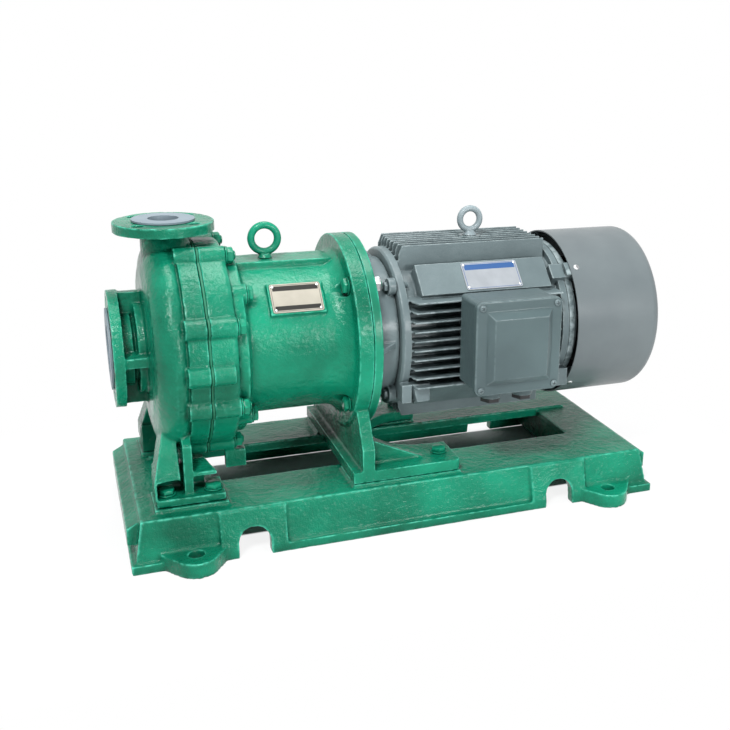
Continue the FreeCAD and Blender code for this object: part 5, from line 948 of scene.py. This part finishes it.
def bare_plate(node, tilt, face):
    """A stamped plate with rounded corners and its own plate map."""
    tilted = plate_frame(tilt)
    level = tilted.inverted()
    low, high = box_round([level @ v.co for v in frame["nodes"][node].data.vertices])
    outline = []
    for side_x, side_y, start in ((1, 1, 0), (-1, 1, 1), (-1, -1, 2), (1, -1, 3)):
        x = (low.x + high.x) / 2 + side_x * ((high.x - low.x) / 2 - PLATE_ROUNDING)
        y = (low.y + high.y) / 2 + side_y * ((high.y - low.y) / 2 - PLATE_ROUNDING)
        for step in range(PLATE_CORNER_STEPS + 1):
            angle = (start + step / PLATE_CORNER_STEPS) * math.pi / 2
            outline.append((x, y, math.cos(angle), math.sin(angle)))
    shape = bmesh.new()
    rings = []
    for radius, height in ((PLATE_ROUNDING, low.z), (PLATE_ROUNDING, high.z - PLATE_EDGE),
                           (PLATE_ROUNDING - PLATE_EDGE, high.z)):
        rings.append([shape.verts.new((x + radius * cosine, y + radius * sine, height))
                      for x, y, cosine, sine in outline])
    closed_skin(shape, rings)
    plate_map = shape.loops.layers.uv.new("plate")
    for side in shape.faces:
        for loop in side.loops:
            place = loop.vert.co
            loop[plate_map].uv = ((place.x - low.x) / (high.x - low.x),
                                  (place.y - low.y) / (high.y - low.y))
    shape.transform(tilted)
    name = node + "_bare"
    settle(new_object(name, mesh_from(shape, name)), node, face)


def rivet_row():
    """Small domed rivets at the corners of both plates."""
    profile = [(RIVET_RADIUS, 0)]
    for angle in DOME_ANGLES[:-1]:
        profile.append((RIVET_RADIUS * math.cos(angle), RIVET_DOME * math.sin(angle)))
    meshes = []
    for low, high in solids_of("plate_rivets"):
        middle = (low + high) / 2
        tilt = PUMP_PLATE_TILT if middle.x < PLATES_PARTED else MOTOR_PLATE_TILT
        out = plate_frame(tilt).to_3x3() @ UP
        shape = bmesh.new()
        turned_solid(shape, profile, RIVET_POINTS)
        meshes.append(placed(shape, facing(out, middle - out * RIVET_SINK)))
    settle(merged("plate_rivets_domed", meshes), "plate_rivets", FINISHES["zinc_steel"])


def finish_frame_nodes():
    """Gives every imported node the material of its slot."""
    for node, item in frame["nodes"].items():
        item.data.materials.clear()
        item.data.materials.append(FINISHES[SLOT_OF[node]])


# The joint between casing and rear cover. The gasket is trimmed to the lobed flanges and
# painted over with them, so that only a fine line shows. The flanges have a lobe at each
# bolt and a lug on one side.

JOINT_FRONT = -0.3370
JOINT_BACK = -0.3340
JOINT_INNER = 0.144
JOINT_RADIUS = 0.179
JOINT_BOLT_RADIUS = 0.176
JOINT_LOBE = 0.017
JOINT_STEP_BACK = 0.3 * MM
JOINT_BOLT_ANGLES = [math.radians(22.5 + 45 * index) for index in range(8)]
SIDE_LUG_ANGLE = math.radians(182)
JOINT_POINTS = 720


def joint_reach(angle):
    """How far the lobed outline lies from the shaft line at an angle."""
    reach = JOINT_RADIUS
    for lobe in JOINT_BOLT_ANGLES + [SIDE_LUG_ANGLE]:
        off = angle - lobe
        inside = JOINT_LOBE ** 2 - (JOINT_BOLT_RADIUS * math.sin(off)) ** 2
        if inside > 0 and math.cos(off) > 0:
            reach = max(reach, JOINT_BOLT_RADIUS * math.cos(off) + math.sqrt(inside))
    return reach - JOINT_STEP_BACK


def painted_joint():
    """The gasket as a ring with the outline of the flanges."""
    angles = [TURN * index / JOINT_POINTS for index in range(JOINT_POINTS)]
    outer = [joint_reach(angle) for angle in angles]
    inner = [JOINT_INNER] * JOINT_POINTS
    shape = bmesh.new()
    rings = []
    for x, reaches in ((JOINT_FRONT, outer), (JOINT_BACK, outer), (JOINT_BACK, inner),
                       (JOINT_FRONT, inner)):
        rings.append([shape.verts.new((x, reach * math.cos(angle),
                                       SHAFT_HEIGHT + reach * math.sin(angle)))
                      for angle, reach in zip(angles, reaches)])
    for lower, upper in zip(rings, rings[1:] + rings[:1]):
        skin_between(shape, lower, upper)
    settle(merged("casing_gasket_painted", [mesh_from(shape, "joint")]), "casing_gasket",
           JOINT_PAINT)


# Stage, light and camera

# The floor glows white far from the pump and a little less near it. Under the base it is
# matte, so the shadow there is real. Each pair is where the change from one to the other
# begins and ends.
FLOOR_HALF = 14.0
FLOOR_DROP = 0.6 * MM
FLOOR_MATTE = (0.86, 0.86, 0.86, 1)
FLOOR_NEAR_GLOW = 0.86
FAR_ALONG = (0.50, 0.80)
FAR_ACROSS = (0.23, 0.50)
UNDER_ENDS = (0.468, 0.464)
UNDER_FRONT = (-0.125, -0.120)
UNDER_BACK = (0.190, 0.186)

WHITE = (1, 1, 1, 1)
SKY = (0.90, 0.95, 1.0, 1)
SKY_STRENGTH = 0.32

# Soft boxes: place, width and height, and power. All are aimed at LIGHT_TARGET.
LIGHT_TARGET = (0.0, 0.0, 0.25)
SOFT_BOXES = (
    ("key_box", (-1.3, -1.9, 2.8), (0.7, 0.6), 122),
    ("fill_box", (0.9, -2.5, 0.9), (0.7, 0.4), 38),
    ("top_box", (0.2, 0.2, 3.0), (1.6, 1.0), 70),
)
FARTHEST_SEEN = 100


def seen_by(wire, *kinds):
    """One for the kinds of ray that are named and nought for all others."""
    rays = wire.node("ShaderNodeLightPath")
    seen = rays.outputs[kinds[0]]
    for kind in kinds[1:]:
        seen = wire.math("MAXIMUM", seen, rays.outputs[kind])
    return seen


def mixed_output(wire, output, share, first, second):
    """Leads a mix of two shaders to the output node."""
    mixed = wire.node("ShaderNodeMixShader",
                      links={0: share, 1: first.outputs[0], 2: second.outputs[0]})
    wire.node(output, links={"Surface": mixed.outputs[0]})


def make_floor():
    """The floor, which shows white to the camera with a faint shadow near the pump."""
    corners = [(side_x * FLOOR_HALF, side_y * FLOOR_HALF, -FLOOR_DROP)
               for side_x, side_y in ((-1, -1), (1, -1), (1, 1), (-1, 1))]
    mesh = bpy.data.meshes.new("floor")
    mesh.from_pydata(corners, [], [(0, 1, 2, 3)])
    floor = new_object("floor", mesh)
    material = bpy.data.materials.new("floor_white")
    material.use_nodes = True
    material.node_tree.nodes.clear()
    wire = Wiring(material.node_tree)
    split = wire.node("ShaderNodeSeparateXYZ", links={"Vector": wire.place()})
    across = split.outputs["Y"]
    off_along = wire.math("ABSOLUTE", split.outputs["X"])
    off_across = wire.math("ABSOLUTE", across)
    away = wire.math("MAXIMUM", wire.spread(off_along, *FAR_ALONG),
                     wire.spread(off_across, *FAR_ACROSS))
    between = wire.math("MULTIPLY", wire.spread(across, *UNDER_FRONT),
                        wire.spread(across, *UNDER_BACK))
    under = wire.math("MULTIPLY", wire.spread(off_along, *UNDER_ENDS), between)
    share = wire.math("MULTIPLY", wire.spread(away, 0, 1, FLOOR_NEAR_GLOW, 1.0),
                      wire.math("SUBTRACT", 1.0, under, clamp=True))
    share = wire.math("MULTIPLY", seen_by(wire, "Is Camera Ray", "Is Glossy Ray"), share)
    matte = wire.node("ShaderNodeBsdfDiffuse", {"Color": FLOOR_MATTE})
    glow = wire.node("ShaderNodeEmission", {"Color": WHITE, "Strength": 1.0})
    mixed_output(wire, "ShaderNodeOutputMaterial", share, matte, glow)
    mesh.materials.append(material)


def make_world():
    """A soft sky for light, and plain white for what is seen or mirrored."""
    world = bpy.data.worlds.new("studio")
    bpy.context.scene.world = world
    world.use_nodes = True
    world.node_tree.nodes.clear()
    wire = Wiring(world.node_tree)
    soft = wire.node("ShaderNodeBackground", {"Color": SKY, "Strength": SKY_STRENGTH})
    white = wire.node("ShaderNodeBackground", {"Color": WHITE, "Strength": 1.0})
    seen = seen_by(wire, "Is Camera Ray", "Is Transmission Ray", "Is Glossy Ray")
    mixed_output(wire, "ShaderNodeOutputWorld", seen, soft, white)


def make_lights():
    """Soft boxes high at the left, low at the right and straight above."""
    for name, place, size, power in SOFT_BOXES:
        data = bpy.data.lights.new(name, "AREA")
        data.shape = "RECTANGLE"
        data.size, data.size_y = size
        data.energy = power
        lamp = new_object(name, data)
        lamp.location = place
        aim = Vector(LIGHT_TARGET) - Vector(place)
        lamp.rotation_euler = aim.to_track_quat("-Z", "Y").to_euler()


def make_camera():
    """The camera of the pinhole fit, which looks along the negative of back."""
    data = bpy.data.cameras.new("camera")
    data.sensor_width = SENSOR
    data.sensor_fit = "HORIZONTAL"
    data.lens = FOCAL_PIXELS / PICTURE * SENSOR
    data.shift_x = (PICTURE / 2 - CENTRE_PIXEL[0]) / PICTURE
    data.shift_y = (CENTRE_PIXEL[1] - PICTURE / 2) / PICTURE
    data.clip_end = FARTHEST_SEEN
    level = math.cos(CAMERA_ELEVATION)
    back = Vector((math.sin(CAMERA_AZIMUTH) * level, -math.cos(CAMERA_AZIMUTH) * level,
                   math.sin(CAMERA_ELEVATION)))
    right = Vector((math.cos(CAMERA_AZIMUTH), math.sin(CAMERA_AZIMUTH), 0))
    up = back.cross(right)
    rolled_right = right * math.cos(CAMERA_ROLL) + up * math.sin(CAMERA_ROLL)
    rolled_up = up * math.cos(CAMERA_ROLL) - right * math.sin(CAMERA_ROLL)
    turn = Matrix((rolled_right, rolled_up, back)).transposed().to_4x4()
    camera = new_object("camera", data)
    camera.matrix_world = Matrix.Translation(CAMERA_PLACE) @ turn
    bpy.context.scene.camera = camera


def main():
    """Makes the pump's looks, the stage and the camera."""
    zinc = FINISHES["zinc_steel"]
    finish_frame_nodes()
    make_castings()
    stud_row("casing_bolts", TO_MOTOR, GREEN_BOLT)
    nut_row("casing_nuts", TO_MOTOR, GREEN_BOLT)
    bolt_row("bracket_bolts", TO_MOTOR, GREEN_BOLT)
    bolt_row("motor_bolts", TO_PUMP, GREEN_BOLT)
    nut_row("motor_nuts", TO_MOTOR, zinc)
    bolt_row("shield_bolts", TO_PUMP, GREY_BOLT, washer=False, scale=SHIELD_BOLT_SCALE)
    bolt_row("pump_foot_bolts", UP, GREEN_BOLT)
    bolt_row("bracket_foot_bolts", UP, GREEN_BOLT)
    screw_row("cover_screws", out_of_cover, GREY_BOLT)
    screw_row("cowl_screws", out_of_cowl, zinc)
    bare_plate("pump_rating_plate", PUMP_PLATE_TILT, PUMP_PLATE)
    bare_plate("motor_rating_plate", MOTOR_PLATE_TILT, MOTOR_PLATE)
    rivet_row()
    painted_joint()
    make_floor()
    make_world()
    make_lights()
    make_camera()
    bpy.context.scene.view_settings.view_transform = "Standard"


main()
